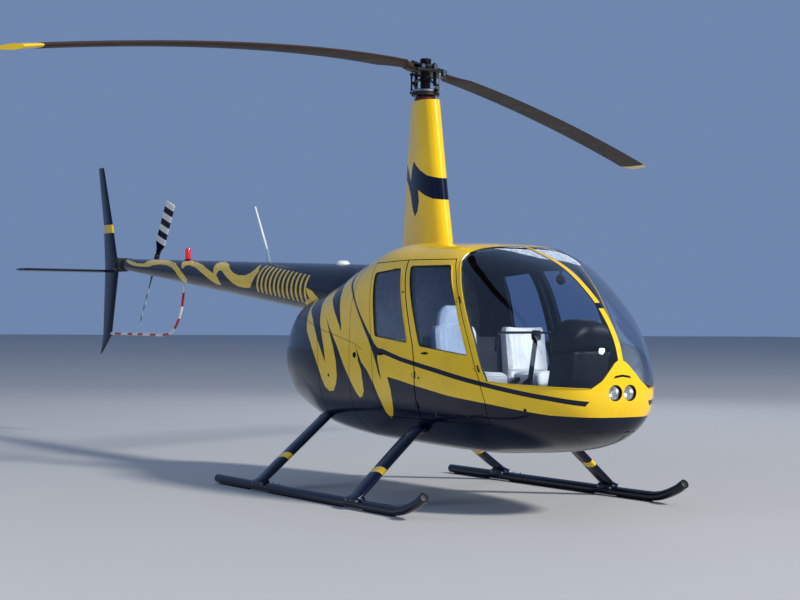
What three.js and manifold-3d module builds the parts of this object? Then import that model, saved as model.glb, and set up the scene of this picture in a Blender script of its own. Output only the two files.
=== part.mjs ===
// Light four-seat helicopter on skids: two-blade main rotor, two-blade tail rotor, piston engine.
// Millimetres. X points to the nose, Y to the pilot's left, Z up. While it is built, x = 0 and y = 0 are the
// rotor mast's axis and z = 0 is the ground; at the end the whole model is centred over its own bounding box.
import * as THREE from "three";
import { ParametricGeometry } from "three/addons/geometries/ParametricGeometry.js";
import { mergeVertices } from "three/addons/utils/BufferGeometryUtils.js";
import Module from "manifold-3d";

const wasm = await Module();
wasm.setup();

// Driving dimensions
const GAP = 0.3; // between pieces that rest on each other
const DOOR_GAP = 6; // round a closed door
const WALL = 35; // cabin wall and door thickness
const POST_WIDTH = 60;
const POST_DEPTH = 30;
const COWL_WALL = 14; // engine cowl with its frames
const GLASS = 5;
const FIREWALL_X = -70;
const SILL_Z = 890; // joint between the lower body and the cabin frame
const DOOR_BOTTOM_Z = 600;
const FLOOR_Z = 600;
const ROTOR_RADIUS = 5030;
const ROTOR_CHORD = 260;
const ROTOR_AZIMUTH = -57.44; // degrees from +X to the near blade
const HUB_Z = 3190;
const BLADE_ROOT = 300;
const TAIL_ROTOR_RADIUS = 737;
const TAIL_ROTOR_CHORD = 130;
const TAIL_ROTOR_LEAN = 31.2; // degrees from upright, forwards at the top
const TAIL_HUB = [-5880, 410, 1833];
const SHAFT_RADIUS = 38;
const TRACK = 2184; // between the skid tubes
const SKID_RADIUS = 34;
const SHOE = 8; // wear shoe under each skid tube
const SKID_AXIS_Z = SKID_RADIUS + SHOE - 2;

// Body sections from tail to nose. Columns: x, half width, top, z of the widest place, bottom, and how square
// the section is above and below that place (2 is an ellipse).
const BODY_ROWS = [
  [-1840, 10, 980, 960, 940, 2.0, 2.0],
  [-1810, 155, 1105, 970, 825, 2.0, 2.1],
  [-1700, 255, 1215, 990, 725, 2.2, 2.2],
  [-1520, 340, 1350, 1010, 635, 2.4, 2.4],
  [-1300, 440, 1470, 1020, 565, 2.6, 2.5],
  [-1020, 510, 1525, 1030, 500, 2.7, 2.7],
  [-660, 565, 1610, 1020, 445, 2.8, 3.2],
  [-200, 595, 1755, 1000, 400, 3.3, 3.0],
  [300, 625, 1858, 980, 385, 4.2, 2.8],
  [800, 640, 1848, 960, 375, 4.4, 2.7],
  [1200, 640, 1832, 950, 375, 3.8, 2.6],
  [1500, 625, 1765, 930, 395, 3.1, 2.5],
  [1800, 570, 1650, 910, 420, 2.5, 2.5],
  [2050, 497, 1490, 890, 460, 2.3, 2.4],
  [2220, 405, 1335, 870, 515, 2.15, 2.3],
  [2340, 297, 1165, 860, 590, 2.05, 2.2],
  [2395, 165, 985, 850, 715, 2.0, 2.0],
  [2408, 10, 860, 850, 840, 2.0, 2.0],
];
const BODY_MIDDLE_X = 300;

// Outlines seen from the side, as [x, z]. Those of the right side serve the left side mirrored.
const WINDSHIELD_EDGE = [
  [1325, 1822], [1282, 1795], [1256, 1763], [1266, 1706], [1333, 1612], [1435, 1431], [1535, 1248],
  [1577, 1170], [1652, 989], [1703, 897],
];
const WINDSHIELD_SILL = [[1831, 889], [2159, 877], [2371, 869], [2600, 866]];
const DOOR_SEAM = [[664, 1726], [774, 1400], [872, 1110], [896, 950], [896, DOOR_BOTTOM_Z]];
const DOORWAY_FRONT = [
  [1672, DOOR_BOTTOM_Z], [1688, 760], [1650, 897], [1606, 989], [1534, 1170], [1494, 1248],
  [1400, 1431], [1296, 1612], [1212, 1722],
];
const DOORWAY_REAR = [[180, 1712], [228, 1450], [278, 1100], [312, 760], [420, DOOR_BOTTOM_Z]];
const FRONT_DOOR_LIFT = 6; // the front door's slanted hinge dips its lower corner as it opens
const FRONT_DOOR = [...DOOR_SEAM, ...DOORWAY_FRONT].map(([x, z]) => [x, Math.max(z, DOOR_BOTTOM_Z + FRONT_DOOR_LIFT)]);
const REAR_DOOR = [...DOOR_SEAM, ...[...DOORWAY_REAR].reverse()];
const DOORWAY = [...DOORWAY_FRONT, DOOR_SEAM[0], ...DOORWAY_REAR];
const FRONT_WINDOW = [[732, 1681], [1208, 1681], [1378, 1405], [1536, 1060], [954, 1113]];
const REAR_WINDOW = [[243, 1640], [627, 1670], [806, 1132], [330, 1174]];
const WINDOW_CORNER = 32;
// The yellow plate round the lamps, from the front, as [y, z]
const NOSE_PLATE = [
  [-236, 868], [-160, 918], [-100, 982], [-48, 1036], [0, 1062], [48, 1036], [100, 982], [160, 918], [236, 868],
  [236, 700], [-236, 700],
];

// Materials: colour, roughness, metalness
const FINISH = {
  yellow: ["#f4cc0c", 0.25, 0],
  black: ["#16181c", 0.25, 0],
  glass: ["#2c3b46", 0.05, 0],
  leather: ["#e9e6df", 0.6, 0],
  trim: ["#24272b", 0.7, 0],
  steel: ["#a9adb1", 0.35, 1],
  iron: ["#4a4c4f", 0.55, 1],
  blade: ["#3a3532", 0.5, 0],
  stripes: ["#d8d9d6", 0.4, 0],
  lens: ["#e8eef2", 0.1, 0],
  red: ["#c01818", 0.3, 0],
};

const model = new THREE.Group();

// Adds a named sub-part
function part(name, geometry, finish) {
  const [color, roughness, metalness] = FINISH[finish];
  const mesh = new THREE.Mesh(geometry, new THREE.MeshStandardMaterial({ color, roughness, metalness }));
  mesh.name = name;
  model.add(mesh);
  return mesh;
}

// A geometry with shared corners and no collapsed triangles
function welded(geometry) {
  const bare = geometry.clone();
  bare.deleteAttribute("normal");
  bare.deleteAttribute("uv");
  const merged = mergeVertices(bare, 1e-3);
  const kept = [];
  const index = merged.index.array;
  for (let i = 0; i < index.length; i += 3) {
    const [a, b, c] = [index[i], index[i + 1], index[i + 2]];
    if (a !== b && b !== c && c !== a) {
      kept.push(a, b, c);
    }
  }
  merged.setIndex(kept);
  return merged;
}

// Between a geometry and the solid that can be cut and joined
function solid(geometry) {
  const merged = welded(geometry);
  const mesh = new wasm.Mesh({
    numProp: 3,
    vertProperties: new Float32Array(merged.attributes.position.array),
    triVerts: new Uint32Array(merged.index.array),
  });
  return new wasm.Manifold(mesh);
}

function geometryOf(body) {
  const mesh = body.getMesh();
  const geometry = new THREE.BufferGeometry();
  geometry.setAttribute("position", new THREE.BufferAttribute(new Float32Array(mesh.vertProperties), 3));
  geometry.setIndex(new THREE.BufferAttribute(new Uint32Array(mesh.triVerts), 1));
  geometry.computeVertexNormals();
  return geometry;
}

// The same shape on the other side of the y = 0 plane
function mirrored(geometry) {
  const other = welded(geometry);
  other.scale(1, -1, 1);
  const index = other.index.array;
  for (let i = 0; i < index.length; i += 3) {
    [index[i], index[i + 1]] = [index[i + 1], index[i]];
  }
  other.computeVertexNormals();
  return other;
}

// A closed skin over rings of equally many points, each end shut by a flat cap
function skin(rings) {
  const centre = (ring) => ring.reduce((sum, p) => sum.add(p), new THREE.Vector3()).divideScalar(ring.length);
  const first = rings[0].map(() => centre(rings[0]));
  const last = rings[0].map(() => centre(rings[rings.length - 1]));
  const all = [first, ...rings, last];
  const around = rings[0].length;
  const steps = all.length - 1;
  const at = (u, v, target) => target.copy(all[Math.round(v * steps)][Math.round(u * around) % around]);
  const geometry = new ParametricGeometry(at, around, steps);
  return outward(geometry);
}

// Turns a closed geometry's faces outwards, whichever way its rings ran
function outward(geometry) {
  const merged = welded(geometry);
  const p = merged.attributes.position;
  const index = merged.index.array;
  const [a, b, c] = [new THREE.Vector3(), new THREE.Vector3(), new THREE.Vector3()];
  let volume = 0;
  for (let i = 0; i < index.length; i += 3) {
    a.fromBufferAttribute(p, index[i]);
    b.fromBufferAttribute(p, index[i + 1]);
    c.fromBufferAttribute(p, index[i + 2]);
    volume += a.dot(b.cross(c));
  }
  if (volume < 0) {
    for (let i = 0; i < index.length; i += 3) {
      [index[i], index[i + 1]] = [index[i + 1], index[i]];
    }
  }
  merged.computeVertexNormals();
  return merged;
}

function box(x0, x1, y0, y1, z0, z1) {
  const geometry = new THREE.BoxGeometry(x1 - x0, y1 - y0, z1 - z0);
  geometry.translate((x0 + x1) / 2, (y0 + y1) / 2, (z0 + z1) / 2);
  return geometry;
}

// A round bar between two points
function rod(from, to, radius, sides = 12) {
  const a = new THREE.Vector3(...from);
  const b = new THREE.Vector3(...to);
  const geometry = new THREE.CylinderGeometry(radius, radius, a.distanceTo(b), sides);
  const turn = new THREE.Quaternion().setFromUnitVectors(new THREE.Vector3(0, 1, 0), b.clone().sub(a).normalize());
  geometry.applyQuaternion(turn);
  const middle = a.add(b).multiplyScalar(0.5);
  geometry.translate(middle.x, middle.y, middle.z);
  return geometry;
}

// A bent tube through points
function tube(points, radius, steps, sides = 10) {
  const path = new THREE.CatmullRomCurve3(points.map((p) => new THREE.Vector3(...p)), false, "centripetal");
  const section = new THREE.Shape();
  section.absarc(0, 0, radius, 0, 2 * Math.PI, false);
  const geometry = new THREE.ExtrudeGeometry(section, { steps, extrudePath: path, curveSegments: sides / 2 });
  return outward(geometry);
}

// An outline with its corners moved inwards by a distance
function inset(points, distance) {
  let area = 0;
  points.forEach(([x, y], i) => {
    const [nx, ny] = points[(i + 1) % points.length];
    area += x * ny - nx * y;
  });
  const turn = Math.sign(area);
  return points.map((point, i) => {
    const before = points[(i + points.length - 1) % points.length];
    const after = points[(i + 1) % points.length];
    const d1 = new THREE.Vector2(point[0] - before[0], point[1] - before[1]).normalize();
    const d2 = new THREE.Vector2(after[0] - point[0], after[1] - point[1]).normalize();
    const n1 = new THREE.Vector2(-d1.y, d1.x).multiplyScalar(turn);
    const n2 = new THREE.Vector2(-d2.y, d2.x).multiplyScalar(turn);
    const mid = n1.clone().add(n2);
    const scale = distance * 2 / mid.lengthSq();
    return [point[0] + mid.x * scale, point[1] + mid.y * scale];
  });
}

// A flat shape from an outline, its corners rounded by a radius
function outline(points, radius = 0) {
  const shape = new THREE.Shape();
  points.forEach((point, i) => {
    const corner = new THREE.Vector2(...point);
    const before = new THREE.Vector2(...points[(i + points.length - 1) % points.length]);
    const after = new THREE.Vector2(...points[(i + 1) % points.length]);
    const start = corner.clone().add(before.sub(corner).setLength(radius));
    const end = corner.clone().add(after.sub(corner).setLength(radius));
    if (i === 0) {
      shape.moveTo(start.x, start.y);
    } else {
      shape.lineTo(start.x, start.y);
    }
    if (radius > 0) {
      shape.quadraticCurveTo(corner.x, corner.y, end.x, end.y);
    }
  });
  shape.closePath();
  return shape;
}

// A side outline [x, z] drawn out from y0 to y1
function sidePrism(points, y0, y1, radius = 0) {
  const geometry = new THREE.ExtrudeGeometry(outline(points, radius), {
    depth: y1 - y0, bevelEnabled: false, curveSegments: 4,
  });
  geometry.rotateX(Math.PI / 2);
  geometry.translate(0, y1, 0);
  return geometry;
}

// A front outline [y, z] drawn out from x0 to x1
function frontPrism(points, x0, x1) {
  const geometry = new THREE.ExtrudeGeometry(outline(points), { depth: x1 - x0, bevelEnabled: false });
  geometry.rotateX(Math.PI / 2);
  geometry.rotateZ(Math.PI / 2);
  geometry.translate(x0, 0, 0);
  return geometry;
}

// Turned shape about the z axis from [radius, z] corners
function turned(profile, segments = 24) {
  return outward(new THREE.LatheGeometry(profile.map((p) => new THREE.Vector2(...p)), segments).rotateX(Math.PI / 2));
}

// Body surface
function spline(f, a, b, c, d) {
  return 0.5 * (2 * b + (c - a) * f + (2 * a - 5 * b + 4 * c - d) * f * f + (3 * b - a - 3 * c + d) * f * f * f);
}

function bodyRow(t) {
  const last = BODY_ROWS.length - 1;
  const i = Math.min(Math.floor(t), last - 1);
  return BODY_ROWS[i].map((value, k) => {
    const next = BODY_ROWS[i + 1][k];
    const before = i > 0 ? BODY_ROWS[i - 1][k] : 2 * value - next;
    const after = i < last - 1 ? BODY_ROWS[i + 2][k] : 2 * next - value;
    return spline(t - i, before, value, next, after);
  });
}

// A point of the body at station t and an angle round the section, moved inwards by depth
function bodyPoint(t, angle, depth) {
  const [x, half, top, wide, bottom, squareTop, squareBottom] = bodyRow(t);
  const end = BODY_ROWS[x < BODY_MIDDLE_X ? 0 : BODY_ROWS.length - 1][0];
  const shrink = 1 - depth / Math.abs(end - BODY_MIDDLE_X);
  const c = Math.cos(angle);
  const s = Math.sin(angle);
  const power = 2 / (s >= 0 ? squareTop : squareBottom);
  const height = s >= 0 ? Math.max(top - depth - wide, 1) : Math.max(wide - bottom - depth, 1);
  return new THREE.Vector3(
    BODY_MIDDLE_X + (x - BODY_MIDDLE_X) * shrink,
    Math.max(half - depth, 1) * Math.sign(c) * Math.abs(c) ** power,
    wide + height * Math.sign(s) * Math.abs(s) ** power,
  );
}

// The body moved inwards by depth. Surfaces deeper than a skin are coarser, since only their room matters
function bodySolid(depth) {
  const fine = depth < COWL_WALL;
  const around = fine ? 28 : 20;
  const last = BODY_ROWS.length - 1;
  const rings = [];
  for (let t = 0; t <= last; t += fine && (t < 2 || t >= last - 4) ? 0.5 : 1) {
    const ring = [];
    for (let k = 0; k < around; k += 1) {
      ring.push(bodyPoint(t, (2 * Math.PI * k) / around, depth));
    }
    rings.push(ring);
  }
  return solid(skin(rings));
}

// Streamlined section: points round a foil of a chord and thickness, nose at +x
function foil(chord, thickness, count = 12) {
  const points = [];
  for (let k = 0; k < count; k += 1) {
    const angle = (2 * Math.PI * k) / count;
    const along = (1 + Math.cos(angle)) / 2;
    const fullness = 1.35 * Math.sqrt(Math.max(1 - along, 0)) * along ** 0.5 * (0.35 + 0.65 * along);
    points.push([chord * (along - 0.5), Math.sign(Math.sin(angle)) * thickness * fullness, 0]);
  }
  return points.map(([x, y]) => [x, Math.abs(y) < 1e-9 ? 0 : y]);
}

// Ring of a foil lying flat at a height, from x of its tail to x of its nose
function foilRing(tail, nose, thickness, z, y = 0, count = 12) {
  return foil(nose - tail, thickness, count).map(([x, w]) => new THREE.Vector3((tail + nose) / 2 + x, y + w, z));
}

// Ring of a circle in a plane of constant x
function roundRing(x, z, radius, count = 20, y = 0) {
  const ring = [];
  for (let k = 0; k < count; k += 1) {
    const angle = (2 * Math.PI * k) / count;
    ring.push(new THREE.Vector3(x, y + radius * Math.cos(angle), z + radius * Math.sin(angle)));
  }
  return ring;
}

// Shared solids
const outer = bodySolid(0);
const shell = outer.subtract(bodySolid(WALL));
const far = 900;
const windshieldOutline = [...WINDSHIELD_EDGE, ...WINDSHIELD_SILL, [2600, 2100], [1325, 2100]];
const windshieldPrism = solid(sidePrism(windshieldOutline, -far, far));
const nosePlate = solid(frontPrism(NOSE_PLATE, 2150, 2500));

// Tail cone: straight taper. Columns: x, top, bottom
const TAIL_CONE_ROWS = [[-420, 1716, 1300], [-980, 1736, 1296], [-1900, 1765, 1379], [-5600, 1880, 1760]];

function tailConeSolid(grow) {
  const rings = TAIL_CONE_ROWS.map(([x, top, bottom], i) => {
    const reach = i === 0 ? grow : 0;
    return roundRing(x + reach, (top + bottom) / 2, (top - bottom) / 2 + grow);
  });
  return solid(skin(rings));
}

// Mast fairing. Columns: z, tail x, nose x, thickness
const FAIRING_ROWS = [[1700, -320, 372, 190], [1900, -300, 352, 184], [2200, -268, 290, 172], [2955, -200, 152, 150]];

function fairingSolid(grow) {
  const rings = FAIRING_ROWS.map(([z, tail, nose, thickness], i) => {
    const drop = i === 0 ? grow : 0;
    return foilRing(tail - grow, nose + grow, thickness + 2 * grow, z - drop, 0, 20);
  });
  return solid(skin(rings));
}

// The two bowed cross tubes, from the foot on the right skid to the middle. Columns: x, y to the right, z, chord and
// thickness. Outside the body each is a broad streamlined fairing, inside it a plain tube.
const STRUTS = {
  front: [[872, 1137, 44, 168, 50], [842, 637, 490, 168, 50], [839, 545, 530, 168, 50], [838, 470, 545, 60, 50],
    [838, 300, 548, 60, 50]],
  rear: [[-529, 1144, 44, 168, 50], [-610, 565, 490, 168, 50], [-621, 481, 555, 168, 50], [-626, 400, 594, 60, 50],
    [-626, 300, 598, 60, 50]],
};
const FOOT_Z = SKID_AXIS_Z + SKID_RADIUS + 10;

function crossTubeSolid(rows, grow) {
  const left = [...rows].reverse().map(([x, y, ...rest]) => [x, -y, ...rest]);
  const stations = [...rows, ...left];
  const points = stations.map(([x, y, z]) => new THREE.Vector3(x, -y, z));
  const rings = points.map((point, i) => {
    const [, , , chord, thickness] = stations[i];
    const before = points[Math.max(i - 1, 0)];
    const after = points[Math.min(i + 1, points.length - 1)];
    const along = after.clone().sub(before).normalize();
    const chordAxis = new THREE.Vector3(1, 0, 0).addScaledVector(along, -along.x).normalize();
    const flatAxis = chordAxis.clone().cross(along).normalize();
    return foil(chord + 2 * grow, thickness + 2 * grow).map(([a, b]) => (
      point.clone().addScaledVector(chordAxis, a).addScaledVector(flatAxis, b)
    ));
  });
  return solid(skin(rings)).subtract(solid(box(-2000, 2000, -2000, 2000, 0, FOOT_Z)));
}

// Skid tube's path from its tail to its upturned tip, as [x, z], its wear shoes and its saddles under the struts
const SKID_PATH = [
  [-1250, SKID_AXIS_Z], [-600, SKID_AXIS_Z], [400, SKID_AXIS_Z], [1250, SKID_AXIS_Z], [1470, SKID_AXIS_Z + 10],
  [1640, SKID_AXIS_Z + 62], [1745, SKID_AXIS_Z + 118],
];
const SHOE_SPANS = [[-1180, -700], [-380, 700], [1000, 1380]];
const SHOE_HALF = 20;
const SADDLE_LENGTH = 184;
const SADDLE_HALF = 30;

function skid(side) {
  const y = (side * TRACK) / 2;
  let body = solid(tube(SKID_PATH.map(([x, z]) => [x, y, z]), SKID_RADIUS, 16, 12));
  for (const [from, to] of SHOE_SPANS) {
    body = body.add(solid(box(from, to, y - SHOE_HALF, y + SHOE_HALF, 0, SKID_AXIS_Z - 10)));
  }
  for (const rows of Object.values(STRUTS)) {
    const rear = rows[0][0] - SADDLE_LENGTH / 2;
    body = body.add(solid(box(rear, rear + SADDLE_LENGTH, y - SADDLE_HALF, y + SADDLE_HALF, SKID_AXIS_Z, FOOT_Z - GAP)));
  }
  return body;
}

// Hinges of the doors: a point on the axis, the axis upwards, and heights of the hinges above that point
const HINGES = {
  front: { point: [1640, -618, 970], axis: [-245, 13, 480], heights: [20, 520], radius: 8 },
  rear: { point: [890, -652, 700], axis: [0, 0, 1], heights: [0, 220], radius: 5 },
};
const KNUCKLE = 26;

// Barrel and leaf of half a hinge. The leaf spans a stretch aft of the axis and a stretch outboard of it
function hingeHalf({ point, axis, radius }, [low, high], [fore, aft], [inboard, outboard]) {
  const up = new THREE.Vector3(...axis).normalize();
  const back = new THREE.Vector3(-1, 0, 0).addScaledVector(up, up.x).normalize();
  const out = up.clone().cross(back).normalize();
  const base = new THREE.Vector3(...point);
  const ends = [low, high].map((height) => base.clone().addScaledVector(up, height).toArray());
  const leaf = box(fore, aft, inboard, outboard, low, high);
  leaf.applyMatrix4(new THREE.Matrix4().makeBasis(back, out, up));
  leaf.translate(...point);
  return solid(rod(...ends, radius)).add(solid(outward(leaf)));
}

// Cabin frame: everything of the shell that isn't door, windshield or engine bay
let frame = shell.subtract(windshieldPrism).add(shell.intersect(nosePlate));
frame = frame.intersect(solid(box(FIREWALL_X, 2500, -far, far, 0, 2200)));
frame = frame.subtract(solid(sidePrism(DOORWAY, -far, -300))).subtract(solid(sidePrism(DOORWAY, 300, far)));
// Door posts stand inside the seam between the doors, from the floor to the roof
const postEdge = (shift) => DOOR_SEAM.map(([x, z], i) => [x + shift, z + [64, 0, 0, 0, -12][i]]);
const postPrism = solid(sidePrism([...postEdge(-POST_WIDTH / 2), ...postEdge(POST_WIDTH / 2).reverse()], -far, far));
const posts = bodySolid(WALL + DOOR_GAP).subtract(bodySolid(WALL + DOOR_GAP + POST_DEPTH)).intersect(postPrism);
const roofLining = bodySolid(WALL - 1).subtract(bodySolid(WALL + DOOR_GAP + 2)).intersect(postPrism)
  .intersect(solid(box(0, 1500, -far, far, 1740, 2000)));
frame = frame.add(posts).add(roofLining);
const fairingCut = fairingSolid(GAP);
const upperBox = solid(box(FIREWALL_X, 1999, -far, far, SILL_Z, 2200));
let upper = frame.intersect(upperBox).subtract(fairingCut);
let lower = frame.subtract(solid(box(FIREWALL_X - 10, 1999 + GAP, -far, far, SILL_Z - GAP, 2200)));
const floorSlab = bodySolid(WALL - 2).intersect(solid(box(FIREWALL_X, 2330, -far, far, FLOOR_Z - 22, FLOOR_Z)));
lower = lower.add(floorSlab);

function mirroredSolid(body) {
  return solid(mirrored(geometryOf(body)));
}

for (const height of HINGES.front.heights) {
  const half = hingeHalf(HINGES.front, [height - KNUCKLE, height], [-18, 0], [-30, 4]).subtract(bodySolid(4));
  upper = upper.add(half).add(mirroredSolid(half));
}
const [rearLow, rearHigh] = HINGES.rear.heights.map((height) => (
  hingeHalf(HINGES.rear, [height - KNUCKLE, height], [-6, -2], [-100, 0])
));
lower = lower.add(rearLow).add(mirroredSolid(rearLow));
upper = upper.add(rearHigh).add(mirroredSolid(rearHigh));

const crossTubes = Object.entries(STRUTS).map(([name, rows]) => [name, crossTubeSolid(rows, 0)]);
const tubeCuts = Object.values(STRUTS).map((rows) => crossTubeSolid(rows, GAP));
tubeCuts.forEach((cut) => {
  lower = lower.subtract(cut);
});

const LAMP_Y = 60;
const LAMP_Z = 842;
const LAMP_RADIUS = 50;
for (const side of [-1, 1]) {
  lower = lower.subtract(solid(rod([2300, side * LAMP_Y, LAMP_Z], [2500, side * LAMP_Y, LAMP_Z], LAMP_RADIUS + GAP, 24)));
}
part("cabin_tub", geometryOf(lower), "yellow");
part("cabin_frame", geometryOf(upper), "yellow");

// Lamps in the nose
let lamps = solid(box(2330, 2345, -120, 120, LAMP_Z - 30, LAMP_Z + 30));
for (const side of [-1, 1]) {
  lamps = lamps.add(solid(rod([2335, side * LAMP_Y, LAMP_Z], [2396, side * LAMP_Y, LAMP_Z], LAMP_RADIUS, 24)));
}
part("landing_lights", geometryOf(lamps), "lens");

// Windshield halves and the strip that joins them
const STRIP = 20;
const glassShell = bodySolid(2).subtract(bodySolid(2 + GLASS));
const paneOutline = inset(windshieldOutline, GAP);
const plateCut = solid(frontPrism(inset(NOSE_PLATE, -1), 2140, 2510));
const pane = glassShell.intersect(solid(sidePrism(paneOutline, -far, -STRIP - GAP))).subtract(plateCut);
part("windshield_right", geometryOf(pane), "glass");
part("windshield_left", mirrored(geometryOf(pane)), "glass");
const stripShell = outer.subtract(bodySolid(14));
const strip = stripShell.intersect(solid(sidePrism(paneOutline, -STRIP, STRIP))).subtract(plateCut);
part("windshield_strip", geometryOf(strip), "yellow");

// Doors: an outer skin close to the frame, an inner panel that steps back to swing clear
const SKIN = 13;
const doorSkin = outer.subtract(bodySolid(SKIN));
const doorPanel = outer.subtract(bodySolid(WALL));

function door(points, window, hinge) {
  const skinPart = doorSkin.intersect(solid(sidePrism(inset(points, DOOR_GAP), -far, -300)));
  const panelPart = doorPanel.intersect(solid(sidePrism(inset(points, DOOR_GAP + 18), -far, -300)));
  let body = skinPart.add(panelPart).subtract(solid(sidePrism(window, -far, -300, WINDOW_CORNER)));
  const own = solid(sidePrism(inset(points, DOOR_GAP), -far, -300)).subtract(bodySolid(4));
  for (const height of hinge.heights) {
    const half = hingeHalf(hinge, [height + GAP, height + KNUCKLE], [0, 50], [-60, 0]);
    body = body.add(half.subtract(bodySolid(-3))).add(half.intersect(own));
  }
  return body;
}

const paneShell = bodySolid(4).subtract(bodySolid(4 + GLASS));
for (const [which, points, window] of [["front", FRONT_DOOR, FRONT_WINDOW], ["rear", REAR_DOOR, REAR_WINDOW]]) {
  const body = door(points, window, HINGES[which]);
  const glass = paneShell.intersect(solid(sidePrism(inset(window, GAP), -far, -300, WINDOW_CORNER)));
  part(`door_${which}_right`, geometryOf(body), "yellow");
  part(`door_${which}_left`, mirrored(geometryOf(body)), "yellow");
  part(`window_${which}_right`, geometryOf(glass), "glass");
  part(`window_${which}_left`, mirrored(geometryOf(glass)), "glass");
}

// Engine bay
const cowlBox = solid(box(-1900, FIREWALL_X - GAP, -far, far, 0, 2200));
let cowl = outer.subtract(bodySolid(COWL_WALL)).intersect(cowlBox);
cowl = cowl.subtract(tailConeSolid(GAP)).subtract(fairingCut);
tubeCuts.forEach((cut) => {
  cowl = cowl.subtract(cut);
});
const FAN_Z = 965;
cowl = cowl.subtract(solid(rod([-2000, 0, FAN_Z], [-1760, 0, FAN_Z], 150, 28)));
cowl = cowl.subtract(solid(box(-1330, -900, -210, 210, 300, 560)));
part("engine_cowl", geometryOf(cowl), "black");

const ENGINE = { rear: -1340, front: -740, half: 320, bottom: 730, top: 1000 };
const firewallSlab = solid(box(FIREWALL_X + 1, FIREWALL_X + 19, -far, far, FLOOR_Z + GAP, 1690));
let firewall = bodySolid(WALL + GAP).intersect(firewallSlab);
for (const side of [-1, 1]) {
  const y = side * 250;
  for (const z of [ENGINE.bottom + 45, ENGINE.top - 45]) {
    firewall = firewall.add(solid(rod([ENGINE.front + GAP, y, z], [FIREWALL_X + 5, y, z], 20, 8)));
  }
}
part("firewall", geometryOf(firewall), "trim");
part("engine_block", box(ENGINE.rear, ENGINE.front, -ENGINE.half, ENGINE.half, ENGINE.bottom, ENGINE.top), "iron");

const scroll = turned([[0, 0], [175, 0], [215, 35], [215, 120], [160, 165], [120, 165], [120, 70], [0, 70]], 28);
scroll.rotateY(-Math.PI / 2);
scroll.translate(ENGINE.rear - GAP, 0, FAN_Z);
part("cooling_fan", geometryOf(solid(scroll)), "steel");

const exhaustPath = [
  [-1100, 120, ENGINE.bottom + 20], [-1100, 120, 640], [-1110, 122, 560], [-1150, 126, 505], [-1210, 130, 470],
  [-1280, 132, 452],
];
const exhaustRoom = solid(box(-1500, -900, 0, 300, 300, ENGINE.bottom - GAP));
part("exhaust_pipe", geometryOf(solid(tube(exhaustPath, 32, 12, 12)).intersect(exhaustRoom)), "steel");

// Mast fairing and rotor head
part("mast_fairing", geometryOf(fairingSolid(0)), "yellow");
const FAIRING_TOP = 2955;
const swash = [
  [SHAFT_RADIUS + GAP + 0.2, FAIRING_TOP + GAP], [62, FAIRING_TOP + GAP], [62, 2990], [108, 2996], [108, 3016],
  [SHAFT_RADIUS + GAP + 0.2, 3016], [SHAFT_RADIUS + GAP + 0.2, FAIRING_TOP + GAP],
];
part("swashplate_lower", turned(swash), "iron");

const rotor = new THREE.Matrix4().makeRotationZ(THREE.MathUtils.degToRad(ROTOR_AZIMUTH));
const upperSwashRing = [
  [SHAFT_RADIUS + GAP, 3017.5], [104, 3017.5], [104, 3040], [SHAFT_RADIUS + GAP, 3040], [SHAFT_RADIUS + GAP, 3017.5],
];
let upperSwash = solid(turned(upperSwashRing));
const LINK = [118, 92];
for (const side of [-1, 1]) {
  const ear = [side * LINK[0], side * LINK[1]];
  upperSwash = upperSwash.add(solid(rod([ear[0] * 0.5, ear[1] * 0.5, 3029], [ear[0] * 1.06, ear[1] * 1.06, 3029], 10, 8)));
  upperSwash = upperSwash.add(solid(rod([ear[0], ear[1], 3029], [ear[0], ear[1], 3168], 8, 8)));
}
part("swashplate_upper", geometryOf(upperSwash).applyMatrix4(rotor), "steel");

let head = solid(rod([0, 0, FAIRING_TOP + 1], [0, 0, HUB_Z], SHAFT_RADIUS, 24));
const hubPlate = new THREE.Shape();
hubPlate.moveTo(-BLADE_ROOT + GAP, -45);
hubPlate.lineTo(-120, -68);
hubPlate.lineTo(120, -68);
hubPlate.lineTo(BLADE_ROOT - GAP, -45);
hubPlate.lineTo(BLADE_ROOT - GAP, 45);
hubPlate.lineTo(120, 68);
hubPlate.lineTo(-120, 68);
hubPlate.lineTo(-BLADE_ROOT + GAP, 45);
const plate = new THREE.ExtrudeGeometry(hubPlate, { depth: 56, bevelEnabled: false });
plate.translate(0, 0, HUB_Z - 28);
head = head.add(solid(plate));
head = head.add(solid(rod([0, -95, HUB_Z + 20], [0, 95, HUB_Z + 20], 26, 16)));
head = head.add(solid(rod([0, 0, HUB_Z + 10], [0, 0, 3277], 42, 20)));
for (const side of [-1, 1]) {
  head = head.add(solid(rod([side * 190, -80, HUB_Z], [side * 190, 80, HUB_Z], 22, 12)));
  const ear = [side * LINK[0], side * LINK[1]];
  head = head.add(solid(box(ear[0] - 14, ear[0] + 14, Math.min(0, ear[1] * 1.12), Math.max(0, ear[1] * 1.12),
    3168 + GAP, 3168 + 26)));
}
part("rotor_head", geometryOf(head).applyMatrix4(rotor), "steel");

// Main blades. The pair hangs by its own weight and the hub rests tilted to the right.
// Columns: share of the radius, share of the chord
const BLADE_STATIONS = [[0.0597, 0.36], [0.08, 0.42], [0.115, 1], [0.3, 1], [0.5, 1], [0.7, 1], [0.85, 1], [0.985, 1], [1, 0.82]];
const BLADE_DROP = { near: 518, far: 346 };
const BLADE_TWIST = 5;

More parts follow.
